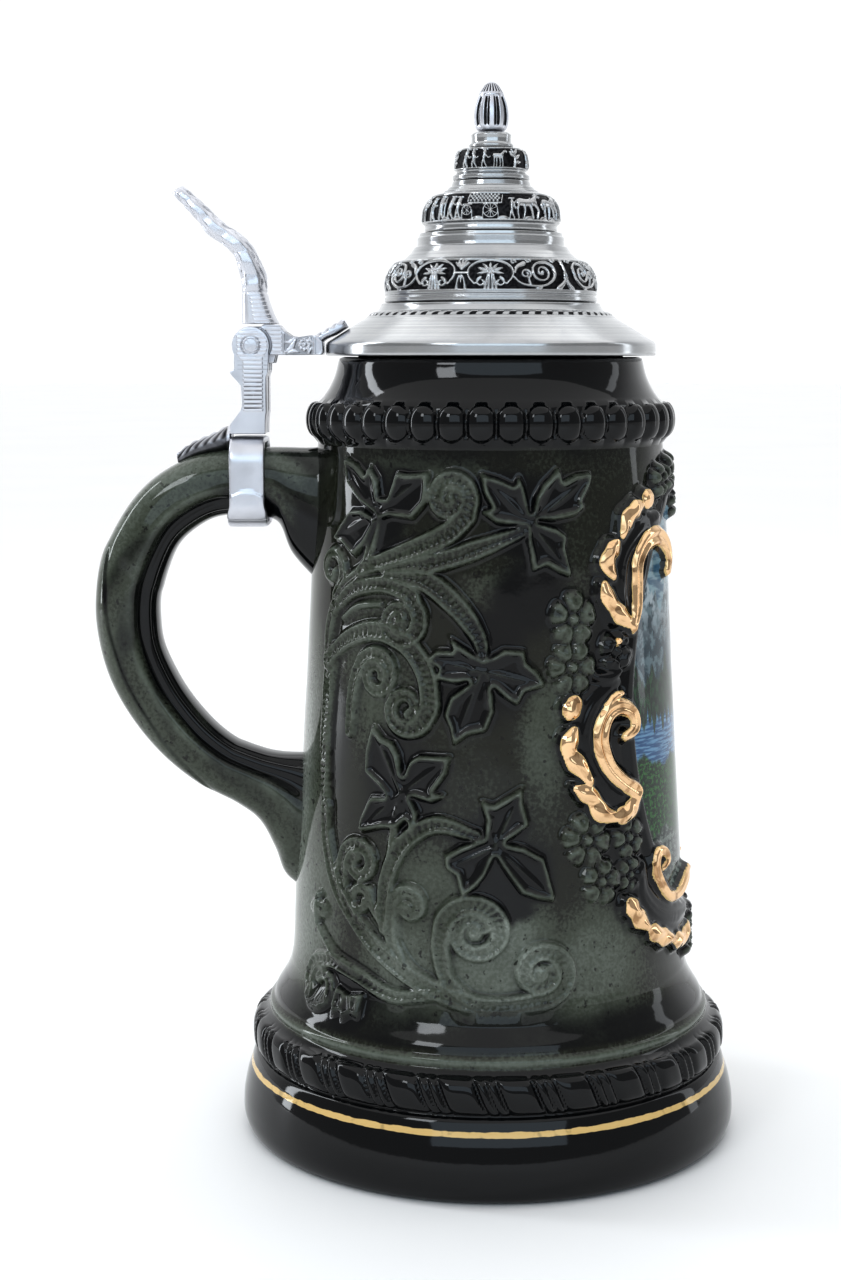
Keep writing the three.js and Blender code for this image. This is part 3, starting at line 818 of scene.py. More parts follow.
ROPE_Z, BEAD_Z = (21.5, 31.3), (183.7, 193.6)
GOLD_LINE_Z, PALE_RING_Z = 17.8, 33.8
GOLD_LINE = 0.68  # how gold the line is: less than the gilding's 1, so that it stays paint
INSIDE_DARK = 0.15
MUG_COLUMNS = 900


def mug_outline():
    lines = ((BASE_LINE, 4), (FOOT_LINE, 0.4), (ROPE_LINE, 0.35), (SCOTIA_LINE, 0.45), (WALL_LINE, 0.42),
             (BEAD_LINE, 0.35), (NECK_LINE, 0.8), (LIP_LINE, 0.5), (CAVITY_LINE, 4))
    parts = []
    for line, step in lines:
        rounded = line if line is BASE_LINE else smooth_line(line, step)
        parts.append(resample(rounded, step))
    return np.vstack([*parts, [(0, 12)]])


def skin(outer, depth=0.8):
    """Tells whether a point lies on the outer side of a profile of [radius, z]."""
    outer = np.asarray(outer, float)
    return lambda r, z: r > np.interp(z, outer[:, 1], outer[:, 0]) - depth


MUG_SKIN = skin(FOOT_LINE + ROPE_LINE + SCOTIA_LINE + WALL_LINE + BEAD_LINE + NECK_LINE, 1.5)


def is_outside(r, z):
    return MUG_SKIN(r, z) & (z > 0.2)


def rope_band(a, z):
    """Long cushions with two slanting straps between each pair."""
    radius, middle, half = 62, 26.4, 4.5
    period = 2 * math.pi * radius / ROPE_PERIODS
    across = (z - middle) / half
    s = np.mod(-a * radius - 0.42 * (z - middle) - 0.5 * across**3, period)
    cushion = (1 - np.abs((s - 4.7) / 4.6) ** 4) * (1 - np.abs(across) ** 3.2)
    straps = [(1 - ((s - at) / 1.35) ** 2) * (1 - np.abs(across) ** 4) for at in (10.6, 13.1)]
    return 2.1 * round_top(1 - np.maximum.reduce([cushion, *straps]))


def bead_band(a, z):
    """A row of tall beads on a thin cord."""
    radius, middle, cord = 46.5, 188.9, 184.9
    period = 2 * math.pi * radius / BEADS
    s = np.abs(np.mod(a * radius, period) - period / 2) / period
    bead = (s / 0.515) ** 2.3 + (np.abs(z - middle) / 4.5) ** 2.3
    lower = 0.9 * round_top(((z - cord) / 1.2) ** 2) * (1 - (s / 0.6) ** 2)
    return np.maximum(2.7 * round_top(bead), lower)


def mug_body(relief):
    def between(z, low, high):
        return (z > low) & (z < high)

    def sample(grid, a, z):
        return relief.sample(grid, UNROLL_R * np.abs(turn_around(a)), z)

    def lay(name):
        def read(a, r, z):
            return sample(relief.layers[name], a, z) * is_outside(r, z) * between(z, WALL_LOW, WALL_HIGH)
        return read

    def ring(r, z, width):
        return bell(z - PALE_RING_Z, width) * is_outside(r, z)

    def height(a, r, z):
        wall = sample(relief.height, a, z) * plateau(z, WALL_LOW, WALL_LOW + 2, WALL_HIGH - 2.5, WALL_HIGH)
        wall = wall + 0.05 * ripple(4 * np.cos(a), z * 0.06, 4 * np.sin(a), seed=3)
        rope = rope_band(a, z) * between(z, *ROPE_Z)
        beads = bead_band(a, z) * between(z, *BEAD_Z)
        return np.where(between(z, WALL_LOW, WALL_HIGH), wall, rope + beads) * is_outside(r, z)

    def dark(a, r, z):
        foot = fall(z, 31.8, 32.6)
        top = rise(z, 181.5, 184.5)
        scotia = 0.75 * plateau(z, 35, 37, 40, 50 + 3 * np.sin(3 * a))
        under_beads = 0.55 * rise(z, 168, 183)
        outside = np.maximum.reduce([foot, top, scotia, under_beads, lay("dark")(a, r, z)])
        return np.where(is_outside(r, z), outside, INSIDE_DARK)

    def gold(a, r, z):
        line = GOLD_LINE * fall(np.abs(z - GOLD_LINE_Z), 0.65, 1.05)
        return np.maximum(lay("gold")(a, r, z), line * is_outside(r, z))

    attributes = {
        "gold": gold, "dark": dark, "panel": lay("panel"),
        "edge": lambda a, r, z: np.maximum(lay("edge")(a, r, z), ring(r, z, 0.9)),
        "pale_and_painted_light": lambda a, r, z: np.maximum(lay("pale_and_painted_light")(a, r, z), ring(r, z, 1.1)),
        "wall_u": lambda a, r, z: UNROLL_R * turn_around(a),
        "wall_z": lambda a, r, z: z,
    }
    return turned("mug_relief_body", mug_outline(), MUG_COLUMNS, height, attributes)


# ---- swept and cut pieces ----


def rounded(wave, power):
    """A sine or cosine bent so that a circle becomes a round-cornered box."""
    return np.sign(wave) * np.abs(wave) ** (2 / power)


def sweep(name, stations, columns, step, power, height, attributes):
    """A closed bar. Each station is (outer x, outer z, inner x, inner z, half depth in y).
    height(t, v) and the attributes take the angle t round the section, 0 on the outer line and
    90 degrees on +y, and the distance v along the bar."""
    line = smooth_line(stations, step)
    outer, inner, half = line[:, 0:2], line[:, 2:4], line[:, 4]
    middle, reach = (outer + inner) / 2, (outer - inner) / 2
    size = np.linalg.norm(reach, axis=1)
    turn = np.linspace(0, 2 * math.pi, 40 * columns + 1)
    outline = np.column_stack([size.mean() * rounded(np.cos(turn), power),
                               half.mean() * rounded(np.sin(turn), power)])
    length = run_length(outline)
    angle = np.interp(np.linspace(0, length[-1], columns, endpoint=False), length, turn)
    across = size[:, None] * rounded(np.cos(angle), power)
    deep = half[:, None] * rounded(np.sin(angle), power)
    v = run_length(middle)
    t, v = np.broadcast_arrays(angle[None, :], v[:, None])
    along_x, along_y = (np.roll(w, -1, axis=1) - np.roll(w, 1, axis=1) for w in (across, deep))
    lift = height(t, v) / (np.hypot(along_x, along_y) + 1e-9)
    across, deep = across + lift * along_y, deep - lift * along_x
    unit = (reach / size[:, None])[:, None, :]
    flat = middle[:, None, :] + across[..., None] * unit
    points = np.stack([flat[..., 0], deep, flat[..., 1]], axis=-1)
    first = middle[1] - middle[0]
    if reach[0, 1] * first[0] - reach[0, 0] * first[1] > 0:
        points = points[:, ::-1]
        t, v = t[:, ::-1], v[:, ::-1]
    return tube(name, points, {k: f(t, v) for k, f in attributes.items()})


SLAB_EDGE = 0.35


def slab(name, outline, low, high, centre, relief=None, attributes=None, step=0.25):
    """A plate with an outline in x and z, from y = low to y = high, with rounded edges. The outline
    is seen whole from its centre. relief(x, z) raises both faces."""
    line = resample(np.vstack([outline, outline[:1]]), step)[:-1]
    area = np.sum(line[:, 0] * np.roll(line[:, 1], -1) - line[:, 1] * np.roll(line[:, 0], -1))
    if area > 0:
        line = line[::-1]
    centre = np.asarray(centre, float)
    spoke = line - centre
    reach = np.linalg.norm(spoke, axis=1)[:, None]
    count = int(reach.max() / step)
    shares = np.linspace(0.02, 1, count)[:, None, None]
    inner = centre + spoke[None] * (1 - SLAB_EDGE / reach[None]) * shares
    lift = relief(inner[..., 0], inner[..., 1]) if relief else np.zeros(inner.shape[:2])
    lift = lift * fall(shares[..., 0], 0.94, 1)
    turn = np.linspace(0, math.pi / 2, 4)[1:]
    rim = [centre + spoke * (1 - SLAB_EDGE * (1 - math.sin(a)) / reach) for a in turn]
    drop = [SLAB_EDGE * (1 - math.cos(a)) for a in turn]

    def face(y, out):
        flat = [(p, y + out * h) for p, h in zip(inner, lift)]
        flat += [(p, np.full(len(p), y - out * d)) for p, d in zip(rim, drop)]
        return [np.column_stack([p[:, 0], across, p[:, 1]]) for p, across in flat]

    points = np.stack(face(low, -1) + face(high, 1)[::-1])
    values = {k: f(points[..., 0], points[..., 2]) for k, f in (attributes or {}).items()}
    return tube(name, points, values)


def lying_on_y(obj, x, z):
    """Turns a piece made about Z so that its axis lies along Y through x and z."""
    for vertex in obj.data.vertices:
        a, b, c = vertex.co
        vertex.co = (a + x * MM, -c, b + z * MM)
    return obj


# ---- the handle ----

HANDLE_STATIONS = [(-43, 182.2, -43.2, 144.2, 11.8), (-46, 181.6, -44.8, 146, 11.2),
    (-52, 181.6, -51.8, 153.8, 10.6), (-57, 181.7, -55.5, 162, 10.5), (-63, 181.7, -62.5, 163.9, 10.5),
    (-70, 181.2, -70.5, 163.6, 10.5), (-79, 179, -76.5, 161, 10.5), (-88.5, 173.3, -81.5, 156.4, 10.5),
    (-96, 164.8, -84.8, 149.4, 10.5), (-101.5, 153.8, -86.5, 142.5, 10.5), (-103.6, 141, -86.7, 136, 10.4),
    (-102.8, 131, -85.8, 130, 10.3), (-99.8, 120, -83, 123, 10.2), (-94.5, 110.3, -79.3, 116.8, 10.1),
    (-86, 99.8, -73.2, 109.2, 10), (-76, 92, -66.5, 104, 10), (-67, 87, -60.5, 101.5, 10),
    (-61, 82.4, -56, 100.6, 10.2), (-57, 75, -51.5, 100.3, 10.4), (-54.5, 68.2, -48.5, 100.3, 10.8),
    (-50, 64, -46.5, 100.3, 11.2)]


FACET = (62, 128)  # the leaf-shaped face, in mm along the handle


def handle_loop():
    def side(t):
        return np.abs(turn_around(t))

    start, stop = FACET

    def leaf(v):
        """Where along the handle the leaf-shaped face runs."""
        return plateau(v, start, start + 4, stop - 4, stop)

    def facet(v):
        """The section angle of the leaf-shaped line on the outer face."""
        return 0.35 + 0.85 * np.sqrt(np.clip(np.sin(math.pi * (v - start) / (stop - start)), 0, 1))

    def run(v):
        return plateau(v, 14, 34, 165, 190)

    def height(t, v):
        q = side(t)
        lift = -1.3 * bell(q - 2.05, 0.19) * run(v) + 0.35 * bell(q - 1.66, 0.14) * run(v)
        lift = lift - 0.7 * bell(q - 2.55, 0.09) * run(v)
        lift = lift + leaf(v) * (0.55 * fall(q - facet(v), -0.05, 0.05) - 0.25)
        return lift + 0.22 * ripple(np.cos(t) * 1.3, v * 0.09, np.sin(t), seed=5)

    def dark(t, v):
        q = side(t)
        marbled = rise(ripple(q * 1.7 + 0.9, v * 0.05 + 1.1, seed=8), -0.25, 0.45)
        # painted shade: darker on the inner side, which faces the wall, in its groove, and in a line along
        # the edge of the leaf-shaped face; darker also towards both roots
        inner = 0.7 * rise(q, 1.75, 2.3) + 0.5 * bell(q - 2.05, 0.25)
        ends = 0.5 * fall(v, 2, 14) + 0.3 * rise(v, 185, 205)
        line = 0.55 * bell(q - facet(v), 0.09) * leaf(v)
        return np.clip(0.5 * marbled + inner + ends + line, 0, 1)

    # Paler on the side ridge and the inner edge, where the glaze breaks thin and as painted highlight, with
    # a broad painted highlight band across the upper loop.
    def edge(t, v):
        q = side(t)
        top = bell(q - 0.95, 0.35) * fall(v, 40, 75)
        return np.clip(0.75 * bell(q - 1.66, 0.12) * run(v) + 0.6 * top + 0.35 * bell(q - 2.75, 0.1), 0, 1)

    # Painted light: paler on the outer side of the loop, which faces the light, streaked like marble; paler
    # also towards the lower root, less on the inner side, with edge() added.
    def pale_and_painted_light(t, v):
        q = side(t)
        top = fall(q, 0.5, 1.7) * (0.55 + 0.35 * ripple(v * 0.06, q * 1.5, seed=2))
        low = 0.6 * rise(v, 150, 185) * (1 - 0.4 * rise(q, 1.2, 2.4))
        return np.clip(np.maximum(0.8 * top + 0.3, low) + 0.4 * edge(t, v), 0, 1)

    attributes = {"dark": dark, "edge": edge, "pale_and_painted_light": pale_and_painted_light}
    return sweep("handle_loop", HANDLE_STATIONS, 200, 0.7, 2.5, height, attributes)


# ---- pewter ----


def pewter_material(name, spun):
    """Bright pewter, blackened in its recesses, with fine turning lines where it is spun."""
    shader = Shader(name, metallic=1.0, anisotropic=0.7 if spun else 0.0, anisotropic_rotation=0.25)
    mix, step, noise = shader.mix, shader.step, shader.noise
    cloud, grain = noise(90, 4, distortion=0.4), noise(1500, 2)
    place = shader.node("SeparateXYZ", {"Vector": shader.position()})
    flat = shader.node("CombineXYZ", {"X": place.outputs[0], "Y": place.outputs[1]}).outputs[0]
    radius = shader.node("VectorMath", {0: flat}, operation="LENGTH").outputs["Value"]
    rings = shader.node("CombineXYZ", {"X": radius, "Z": place.outputs[2]}).outputs[0]
    lines = shader.node("TexNoise", {"Vector": rings, "Scale": 1600, "Detail": 3.0}).outputs["Fac"]
    tones = ((0.46, 0.47, 0.48), (0.52, 0.525, 0.53)) if spun else ((0.56, 0.57, 0.61), (0.65, 0.66, 0.70))
    bright = mix(step(cloud, 0.3, 0.7), *tones)
    bright = mix(step(lines, 0.35, 0.7, 0, 0.25 if spun else 0), bright, (0.33, 0.335, 0.345))
    patina = mix(step(grain, 0.4, 0.6), (0.012, 0.012, 0.014), (0.035, 0.035, 0.038))
    sunk = shader.math("ADD", shader.value("recess"), step(cloud, 0.3, 0.7, -0.08, 0.08))
    black = step(sunk, 0.3, 0.75)
    gloss = step(lines, 0.25, 0.75, 0.16, 0.26) if spun else step(cloud, 0.25, 0.75, 0.28, 0.4)
    texture, strength = (lines, 0.02) if spun else (noise(380, 3), 0.05)
    shader.set(base_color=mix(black, bright, patina), normal=shader.bump(texture, strength, 0.00008),
               roughness=shader.math("MAXIMUM", gloss, shader.math("MULTIPLY", black, 0.55)))
    return shader.material


class Frieze:
    """Raised figures on a sunk, blackened band of a turned piece. The pattern is repeated period
    times round it, with its own middle, or the place turn mm further on, at -Y; mirrored makes each
    repeat out of one half and its mirror image."""

    def __init__(self, profile, radius, period, ground, mirrored=False, turn=0.0):
        profile = np.asarray(profile, float)
        self.z = profile[:, 1]
        self.v = run_length(profile)
        self.radius, self.ground, self.mirrored, self.turn = radius, ground, mirrored, turn
        span = 2 * math.pi * radius / period
        low, high = (-1.5, span / 2 + 1.5) if mirrored else (-span / 2, span / 2)
        self.span = span
        self.relief = Relief((low, high), (-1, self.v[-1] + 1), 0.1)

    def place(self, a, z):
        u = np.mod((a + math.pi / 2) * self.radius + self.turn + self.span / 2, self.span) - self.span / 2
        return (np.abs(u) if self.mirrored else u), np.interp(z, self.z, self.v)

    def reader(self, on_skin, shape):
        """shape of the relief's height, on the outer skin between the frieze's edges."""
        def read(a, r, z):
            raised = self.relief.sample(self.relief.height, *self.place(a, z))
            edges = (self.z[0], self.z[0] + 0.25, self.z[-1] - 0.3, self.z[-1])
            return shape(raised) * (plateau(z, *edges) * on_skin(r, z))
        return read

    def looks(self, outer):
        """The height and the attributes that a turned piece with this outside takes."""
        ground, on_skin = self.ground, skin(outer)
        height = self.reader(on_skin, lambda raised: np.minimum(raised, ground + 0.3) - ground)
        recess = self.reader(on_skin, lambda raised: fall(raised, 0.15 * ground, 0.7 * ground))
        return height, {"recess": recess}


LOWER_FRIEZE = [(27.5, 221.7), (27.4, 224), (26.2, 227.2), (24.4, 229.3)]
MIDDLE_FRIEZE = [(17.8, 239.3), (17.6, 242), (16.6, 244.6), (14.7, 246.2)]
UPPER_FRIEZE = [(9.5, 252.7), (9.4, 255), (8.6, 257.4), (7.7, 257.9)]


def flowers_and_scrolls():
    frieze = Frieze(LOWER_FRIEZE, 26.5, 3, 0.55, mirrored=True, turn=8.2)
    stroke, bump = frieze.relief.stroke, frieze.relief.bump
    tall = dict(height=0.7)
    # an arch that curls in at both feet, with a long-stemmed star flower in it
    centre, wide, high = 7.3, 5.6, 3.9
    arch = round_spot((centre, 4.3), (wide, high), np.linspace(-48, 228, 26))
    curls = [coil((centre + side * 2.3, 1.8), 1.2, 90, -side * 0.9, 0.5) for side in (1, -1)]
    stroke([*curls[0][::-1], *arch, *curls[1]], 0.34, **tall)
    rays = (-14, 20, 54, 90, 126, 160, 194)
    for foot, tip in zip(round_spot((centre, 4.6), 0.7, rays), round_spot((centre, 4.6), (3.4, 2.7), rays)):
        stroke([foot, tip], [0.25, 0.52, 0.1], **tall)
    for dx, dy in ((0, 0), (0.7, 0.1), (-0.7, 0.1), (0.35, 0.65), (-0.35, 0.65), (0.3, -0.5), (-0.3, -0.5)):
        bump((centre + dx, 4.6 + dy), 0.42, 0.8)
    for dx in (-1.4, -0.5, 0.5, 1.4):
        stroke([(centre + 0.5 * dx, 3.8), (centre + dx, 0.4)], [0.25, 0.42], height=0.62)
    # a tie, a fan and a pair of long leaves between two arches
    stroke([(0, 4.2), (1.8, 4.2)], 0.4, **tall)
    fan = (90, 62, 38)
    for foot, tip in zip(round_spot((0, 5.2), (0.3, 0), fan), round_spot((0, 5.6), (2.1, 2.5), fan)):
        stroke([foot, tip], [0.2, 0.42], **tall)
    stroke([(0, 3.4), (0, 1.6)], [0.4, 0.12], **tall)
    stroke([(0.4, 3.5), (0.9, 1.8), (1.1, 0.1)], [0.2, 0.3, 0.5], **tall)
    # running scroll, a small coil, a bell flower and leaves
    stroke([(12.9, 3.2), (14.6, 1.6), (17.2, 0.9), (21.2, 1.0), (23.9, 2.9), (24.2, 5.8), (22.4, 7.4),
            *coil((20.6, 4.4), 2.9, 95, 1.5, 0.6)], [0.3, 0.42, 0.45, 0.42, 0.36, 0.3], **tall)
    bump((20.6, 4.4), 0.55, 0.8)
    stroke([(17.4, 0.9), *coil((16.1, 3.9), 1.4, -60, 1.3, 0.4)], [0.36, 0.28], **tall)
    stroke([(13.4, 4.3), (14.1, 5.9), (15.9, 7.0)], [0.25, 0.7, 0.9], section=flat_section, height=0.6)
    for at in ((13.2, 7.5), (17.4, 7.9), (24.9, 8.0)):
        stroke(coil(at, 0.75, 0, 0.9, 0.3), 0.24, **tall)
    stroke([(27.75, 7.9), (27.75, 5.4), (27.2, 2.9)], [0.5, 0.25, 0.15], **tall)
    stroke([(27.75, 3.3), (27, 1.6), (25.4, 0.2)], [0.2, 0.55, 0.8], **tall)
    stroke([(20.5, 0.9), (19.4, 0)], [0.3, 0.9], height=0.6)
    return frieze


def walker(relief, u, lean, size, staff=False):
    """A small striding figure in a hat, of no one in particular."""
    x, top = u + lean, 5.6 * size
    hip, knee, legs = (u, 3.1 * size), 1.7 * size, [0.46 * size, 0.3 * size]
    relief.stroke([hip, (x, top)], [0.55 * size, 0.72 * size], 0.7)
    relief.bump((x + 0.1, top + 0.75 * size), 0.52 * size, 0.72)
    relief.stroke([(x - 0.7, top + 1.05), (x + 0.8, top + 1.05)], 0.2 * size, 0.7)
    relief.stroke([hip, (u + 0.25, knee), (u + 0.9 * size, 0.35)], legs, 0.66)
    relief.stroke([hip, (u - 0.4, knee), (u - 0.65 * size, 0.35)], legs, 0.66)
    relief.stroke([(x, top - 0.4), (x + 0.9, top - 1.5), (x + 1.5, top - 1.2)], 0.24 * size, 0.66)
    if staff:
        relief.stroke([(x + 1.5, top + 0.6), (x + 1.6, 0.4)], 0.16, 0.6)


HORSE_LENGTH = 1.25


def horse(relief, u):
    def limb(points, width, height):
        relief.stroke([(u + HORSE_LENGTH * along, up) for along, up in points], width, height)

    limb([(0, 4.6), (1.6, 4.4), (3.4, 4.7)], [1.15, 1.05, 1.2], 0.72)
    limb([(3.3, 4.9), (4.3, 6.3), (4.6, 7.1)], [1.0, 0.7, 0.5], 0.72)
    limb([(4.4, 7.0), (5.5, 6.2)], [0.5, 0.3], 0.72)
    for foot, bend in ((-0.5, -0.7), (0.6, 0.9), (2.9, 2.6), (4.0, 4.3)):
        limb([(bend * 0.8 + 0.2, 4.0), (bend, 2.3), (foot, 0.4)], [0.5, 0.3, 0.27], 0.66)
    limb([(-0.8, 4.9), (-1.4, 4.0), (-1.2, 2.6)], [0.26, 0.34, 0.16], 0.66)
    limb([(2.4, 5.6), (2.7, 3.6)], 0.16, 0.85)


def harvest_wagon():
    """A loaded wagon, two horses, walkers and a tree."""
    frieze = Frieze(MIDDLE_FRIEZE, 17.4, 2, 0.5)
    relief = frieze.relief
    stroke, bump = relief.stroke, relief.bump
    # load, rails and wheels
    for row in range(4):
        for k in range(8):
            at = -5.9 + 1.0 * k + 0.5 * (row % 2)
            bump((at, 4.9 + 0.72 * row), 0.44, 0.66)
    stroke([(-6.4, 4.2), (2.2, 4.2)], 0.2, 0.72)
    stroke([(-6.6, 4.6), (-6.4, 7.3)], 0.22, 0.72)
    stroke([(2.1, 4.2), (2.6, 6.6)], 0.22, 0.72)
    for centre, r, spokes in (((-0.7, 2.3), 1.8, 12), ((-6.7, 2.3), 1.2, 8)):
        stroke(coil(centre, r, 0, 1.02, r), 0.2, 0.74)
        bump(centre, 0.32, 0.74)
        for rim in round_spot(centre, r, np.arange(spokes) * 360 / spokes):
            stroke([centre, rim], 0.1, 0.55)
        for side in (-1, 1):
            stroke([(centre[0] + side * (r + 0.15), 2.2), (centre[0] + side * (r + 0.1), 0.3)], 0.2, 0.62)
        stroke([(centre[0] - r, 3.9), (centre[0] + r, 3.9)], 0.16, 0.6)
    for at in (-13, -9.4, -3.9, 2.5, 9.6, 14.6, 18.2, 23.6):
        bump((at, 0.1), (1.5, 0.9), 0.6)
    for at in (7.2, 15.8):
        horse(relief, at)
    for figure in ((-9.3, 0.3, 0.9), (4.7, 0.2, 0.8), (-11.6, 0.5, 0.95), (-18.2, 0.3, 0.92),
                   (-14.6, -0.3, 1.0, True), (24.6, 0.2, 0.95, True)):
        walker(relief, *figure)
    # a tree where the pattern meets itself
    stroke([(-22.8, 0.3), (-22.6, 4.2)], [0.42, 0.3], 0.66)
    for dx, dy in ((-1.3, 4.9), (0, 5.9), (1.3, 5.0), (-0.6, 4.1), (0.8, 4.2), (0, 7.1)):
        bump((-22.6 + dx, dy), (0.85, 0.7), 0.7)
    return frieze


def small_walkers():
    """Three walkers, a small horse and a tree."""
    frieze = Frieze(UPPER_FRIEZE, 9.3, 3, 0.45)
    relief = frieze.relief
    for u, lean in ((-7.6, 0.3), (-4.9, -0.3), (-2.2, 0.2)):
        walker(relief, u, lean, 0.72)
    relief.stroke([(0.6, 3.1), (2.4, 3.0)], [0.65, 0.7], 0.6)
    for foot in (0.4, 1.1, 2.0, 2.7):
        relief.stroke([(foot * 0.9 + 0.15, 2.8), (foot, 0.4)], [0.3, 0.18], 0.55)
    relief.stroke([(2.5, 3.4), (3.4, 4.3), (4.0, 4.1)], [0.45, 0.35, 0.2], 0.6)
    relief.stroke([(6.2, 0.3), (6.4, 3), (5.6, 4.9)], [0.4, 0.3, 0.2], 0.6)
    for twig in ([(6.3, 2.2), (8.2, 3.4)], [(6.3, 2.8), (4.9, 4.2)], [(6.3, 3.4), (7.8, 5.2)],
                 [(6.2, 1.4), (8.3, 1.5)]):
        relief.stroke(twig, [0.2, 0.55, 0.15], 0.6)
    return frieze


FLANGE_RIM = [(34.4, 205.3), (42.4, 205.3), (42.8, 205.6), (42.8, 208.3), (42.5, 208.75), (41.9, 209.15)]
FLANGE_CONE = [(41.9, 209.15), (32.5, 214.9), (32.1, 215.35), (31.7, 215.5), (31.2, 216.1), (30.4, 216.45),
    (29.7, 216.55), (29.3, 216.75), (28.8, 217.5), (28.5, 218), (28.3, 218.6)]
FLANGE_INSIDE = [(25.8, 218.6), (27.2, 215.4), (30.8, 212.8), (32.3, 208), (32.3, 204), (32.6, 203.6),
    (34, 203.6), (34.3, 203.9)]
LOWER_DOME = [(25.6, 218.9), (27.2, 218.9), (27.5, 219.2), (27.5, 220.1), (27.2, 220.35), (27.2, 220.65),
    (27.5, 220.9), (27.5, 221.7), (27.45, 224), (27.1, 225.6), (26.3, 227.2), (25.4, 228.5), (24.4, 229.3),
    (23.5, 229.65), (22.6, 229.85), (21.6, 230.6), (20.6, 231.6), (19.8, 232.9), (19.1, 233.2),
    (18.95, 234), (18.95, 235.4), (18.5, 235.7), (18.4, 236.5)]
LOWER_DOME_INSIDE = [(16.4, 236.5), (16.9, 233.6), (20.8, 228.4), (24.6, 225), (25.4, 219.1)]
MIDDLE_DOME = [(15.1, 236.8), (17, 236.8), (17.15, 237.4), (17, 238.2), (17.1, 238.6), (17.8, 239.1),
    (17.85, 240), (17.7, 242), (17.3, 243.4), (16.6, 244.6), (15.8, 245.5), (14.7, 246.2), (13.2, 246.6),
    (12.3, 246.9), (12.1, 247.25), (11.4, 247.4), (10.9, 248.2), (10.2, 248.5), (9.9, 249.7)]
MIDDLE_DOME_INSIDE = [(7.9, 249.7), (8.4, 247), (12.6, 244), (14.9, 241), (15, 237)]
UPPER_DOME = [(0, 250), (9.6, 250), (9.9, 250.3), (9.9, 251.1), (9.3, 251.5), (8.8, 251.9), (8.9, 252.3),
    (9.5, 252.6), (9.55, 254), (9.4, 255), (9.1, 256.4), (8.6, 257.3), (7.7, 257.9), (6.6, 258), (0, 258)]
COLLAR_LINE = [(0, 258.3), (5.5, 258.3), (5.7, 258.55), (5.7, 259), (5.3, 259.3), (5.1, 259.7),
    (5.05, 260.6), (5.15, 261.5), (4.9, 261.75), (4.6, 262), (4, 262.2), (0, 262.2)]
BUD_LINE = [(0, 262.5), (3.1, 262.5), (3.7, 262.9), (4.25, 263.8), (4.45, 265), (4.5, 266.4), (4.3, 268.2),
    (3.95, 269.6), (3.4, 271), (2.9, 272), (2.75, 272.3), (2.3, 273), (1.6, 274), (0.9, 274.7),
    (0.4, 274.95), (0, 275)]
DASHES = 60


def flange():
    outer = np.vstack([resample(FLANGE_RIM, 0.5), resample(FLANGE_CONE, 0.22)[1:]])

    def dash(a, r, z):
        across = (r - 31.0) / 0.95
        s = np.mod(a * DASHES / (2 * math.pi) + 0.16 * across, 1)
        long = plateau(s, 0.12, 0.2, 0.62, 0.72)
        return long * fall(np.abs(across), 0.45, 0.95) * (z > 214.9)

    outline = np.vstack([outer, resample(FLANGE_INSIDE, 1.5)])
    return turned("flange_spun", outline, 900, lambda a, r, z: -0.32 * dash(a, r, z),
                  {"recess": lambda a, r, z: 0.9 * dash(a, r, z)}, closed=True)


def dome(name, outer, inner, frieze, columns):
    """A turned shell: its outside closely sampled, its inside coarsely."""
    outline = np.vstack([resample(outer, 0.13), resample(inner, 2)])
    return turned(name, outline, columns, *frieze.looks(outer), closed=True)


def cap_dome():
    height, recess = small_walkers().looks(UPPER_DOME[1:-1])
    return turned("upper_dome_cast", resample(UPPER_DOME, 0.16), 520, height, recess)


def bud():
    petals = 10

    def petal(a, z):
        wave = crest(petals * a)
        body = plateau(z, 263.2, 264.2, 270.8, 271.6)
        return wave, body

    def height(a, r, z):
        wave, body = petal(a, z)
        hollow = rise(wave, 0.25, 0.75)
        rib = crest(2 * petals * a) * plateau(z, 271.9, 272.2, 273.9, 274.6)
        lip = bell(z - 271.8, 0.35)
        return -0.5 * hollow * body + 0.16 * rib + 0.14 * lip

    def recess(a, r, z):
        wave, body = petal(a, z)
        vein = bell(np.mod(a * petals / (2 * math.pi) + 0.5, 1) - 0.5, 0.07)
        tip = fall(np.cos(2 * petals * a), -0.3, 0.3) * plateau(z, 272, 272.4, 274.3, 274.8)
        return (rise(wave, 0.25, 0.6) - 0.55 * vein) * body + 0.8 * tip

    line = smooth_line(BUD_LINE[1:-1], 0.12)
    line = np.vstack([[(0, 262.5)], line, [(0, 275)]])
    return turned("bud_cast", line, 320, height, {"recess": recess})


# ---- hinge, arm, thumb lift and strap ----

HINGE = node_box("hinge_pin")
HINGE_X, HINGE_Z = (HINGE[0][0] + HINGE[1][0]) / 2, (HINGE[0][2] + HINGE[1][2]) / 2
HEAD_R = 4.8
LEAF_Y = (4.9, 8.0)
SLOT_Y = (1.75, 4.65)
RIB_PITCH = 1.1
PIN_RING_R = 2.3


def hinge_arc(radius, start, stop, count=28):
    return round_spot((HINGE_X, HINGE_Z), radius, np.linspace(start, stop, count))


def ribs(z, depth=0.24):
    return depth * crest(2 * math.pi * z / RIB_PITCH) ** 0.7


def post_outline(top=None):
    foot = [(-67.5, 185.3), (-58.3, 185.3), (-58.2, 189), (-57.9, 190.9), (-57.9, 200.2), (-57.4, 201.4)]
    back = [(-66.2, 202), (-66.9, 201.6), (-67.3, 201), (-66.7, 200.2), (-65.4, 198.8), (-64.5, 197.7),
            (-64.3, 192.4), (-64.7, 191.2), (-66.4, 188.9), (-67.4, 187.6)]
    if top is None:
        return np.vstack([foot, hinge_arc(HEAD_R, -15, 205), back])
    return np.vstack([[p for p in foot if p[1] < top], [(-57.9, top), (-64.3, top)],
                      [p for p in back if p[1] < top]])


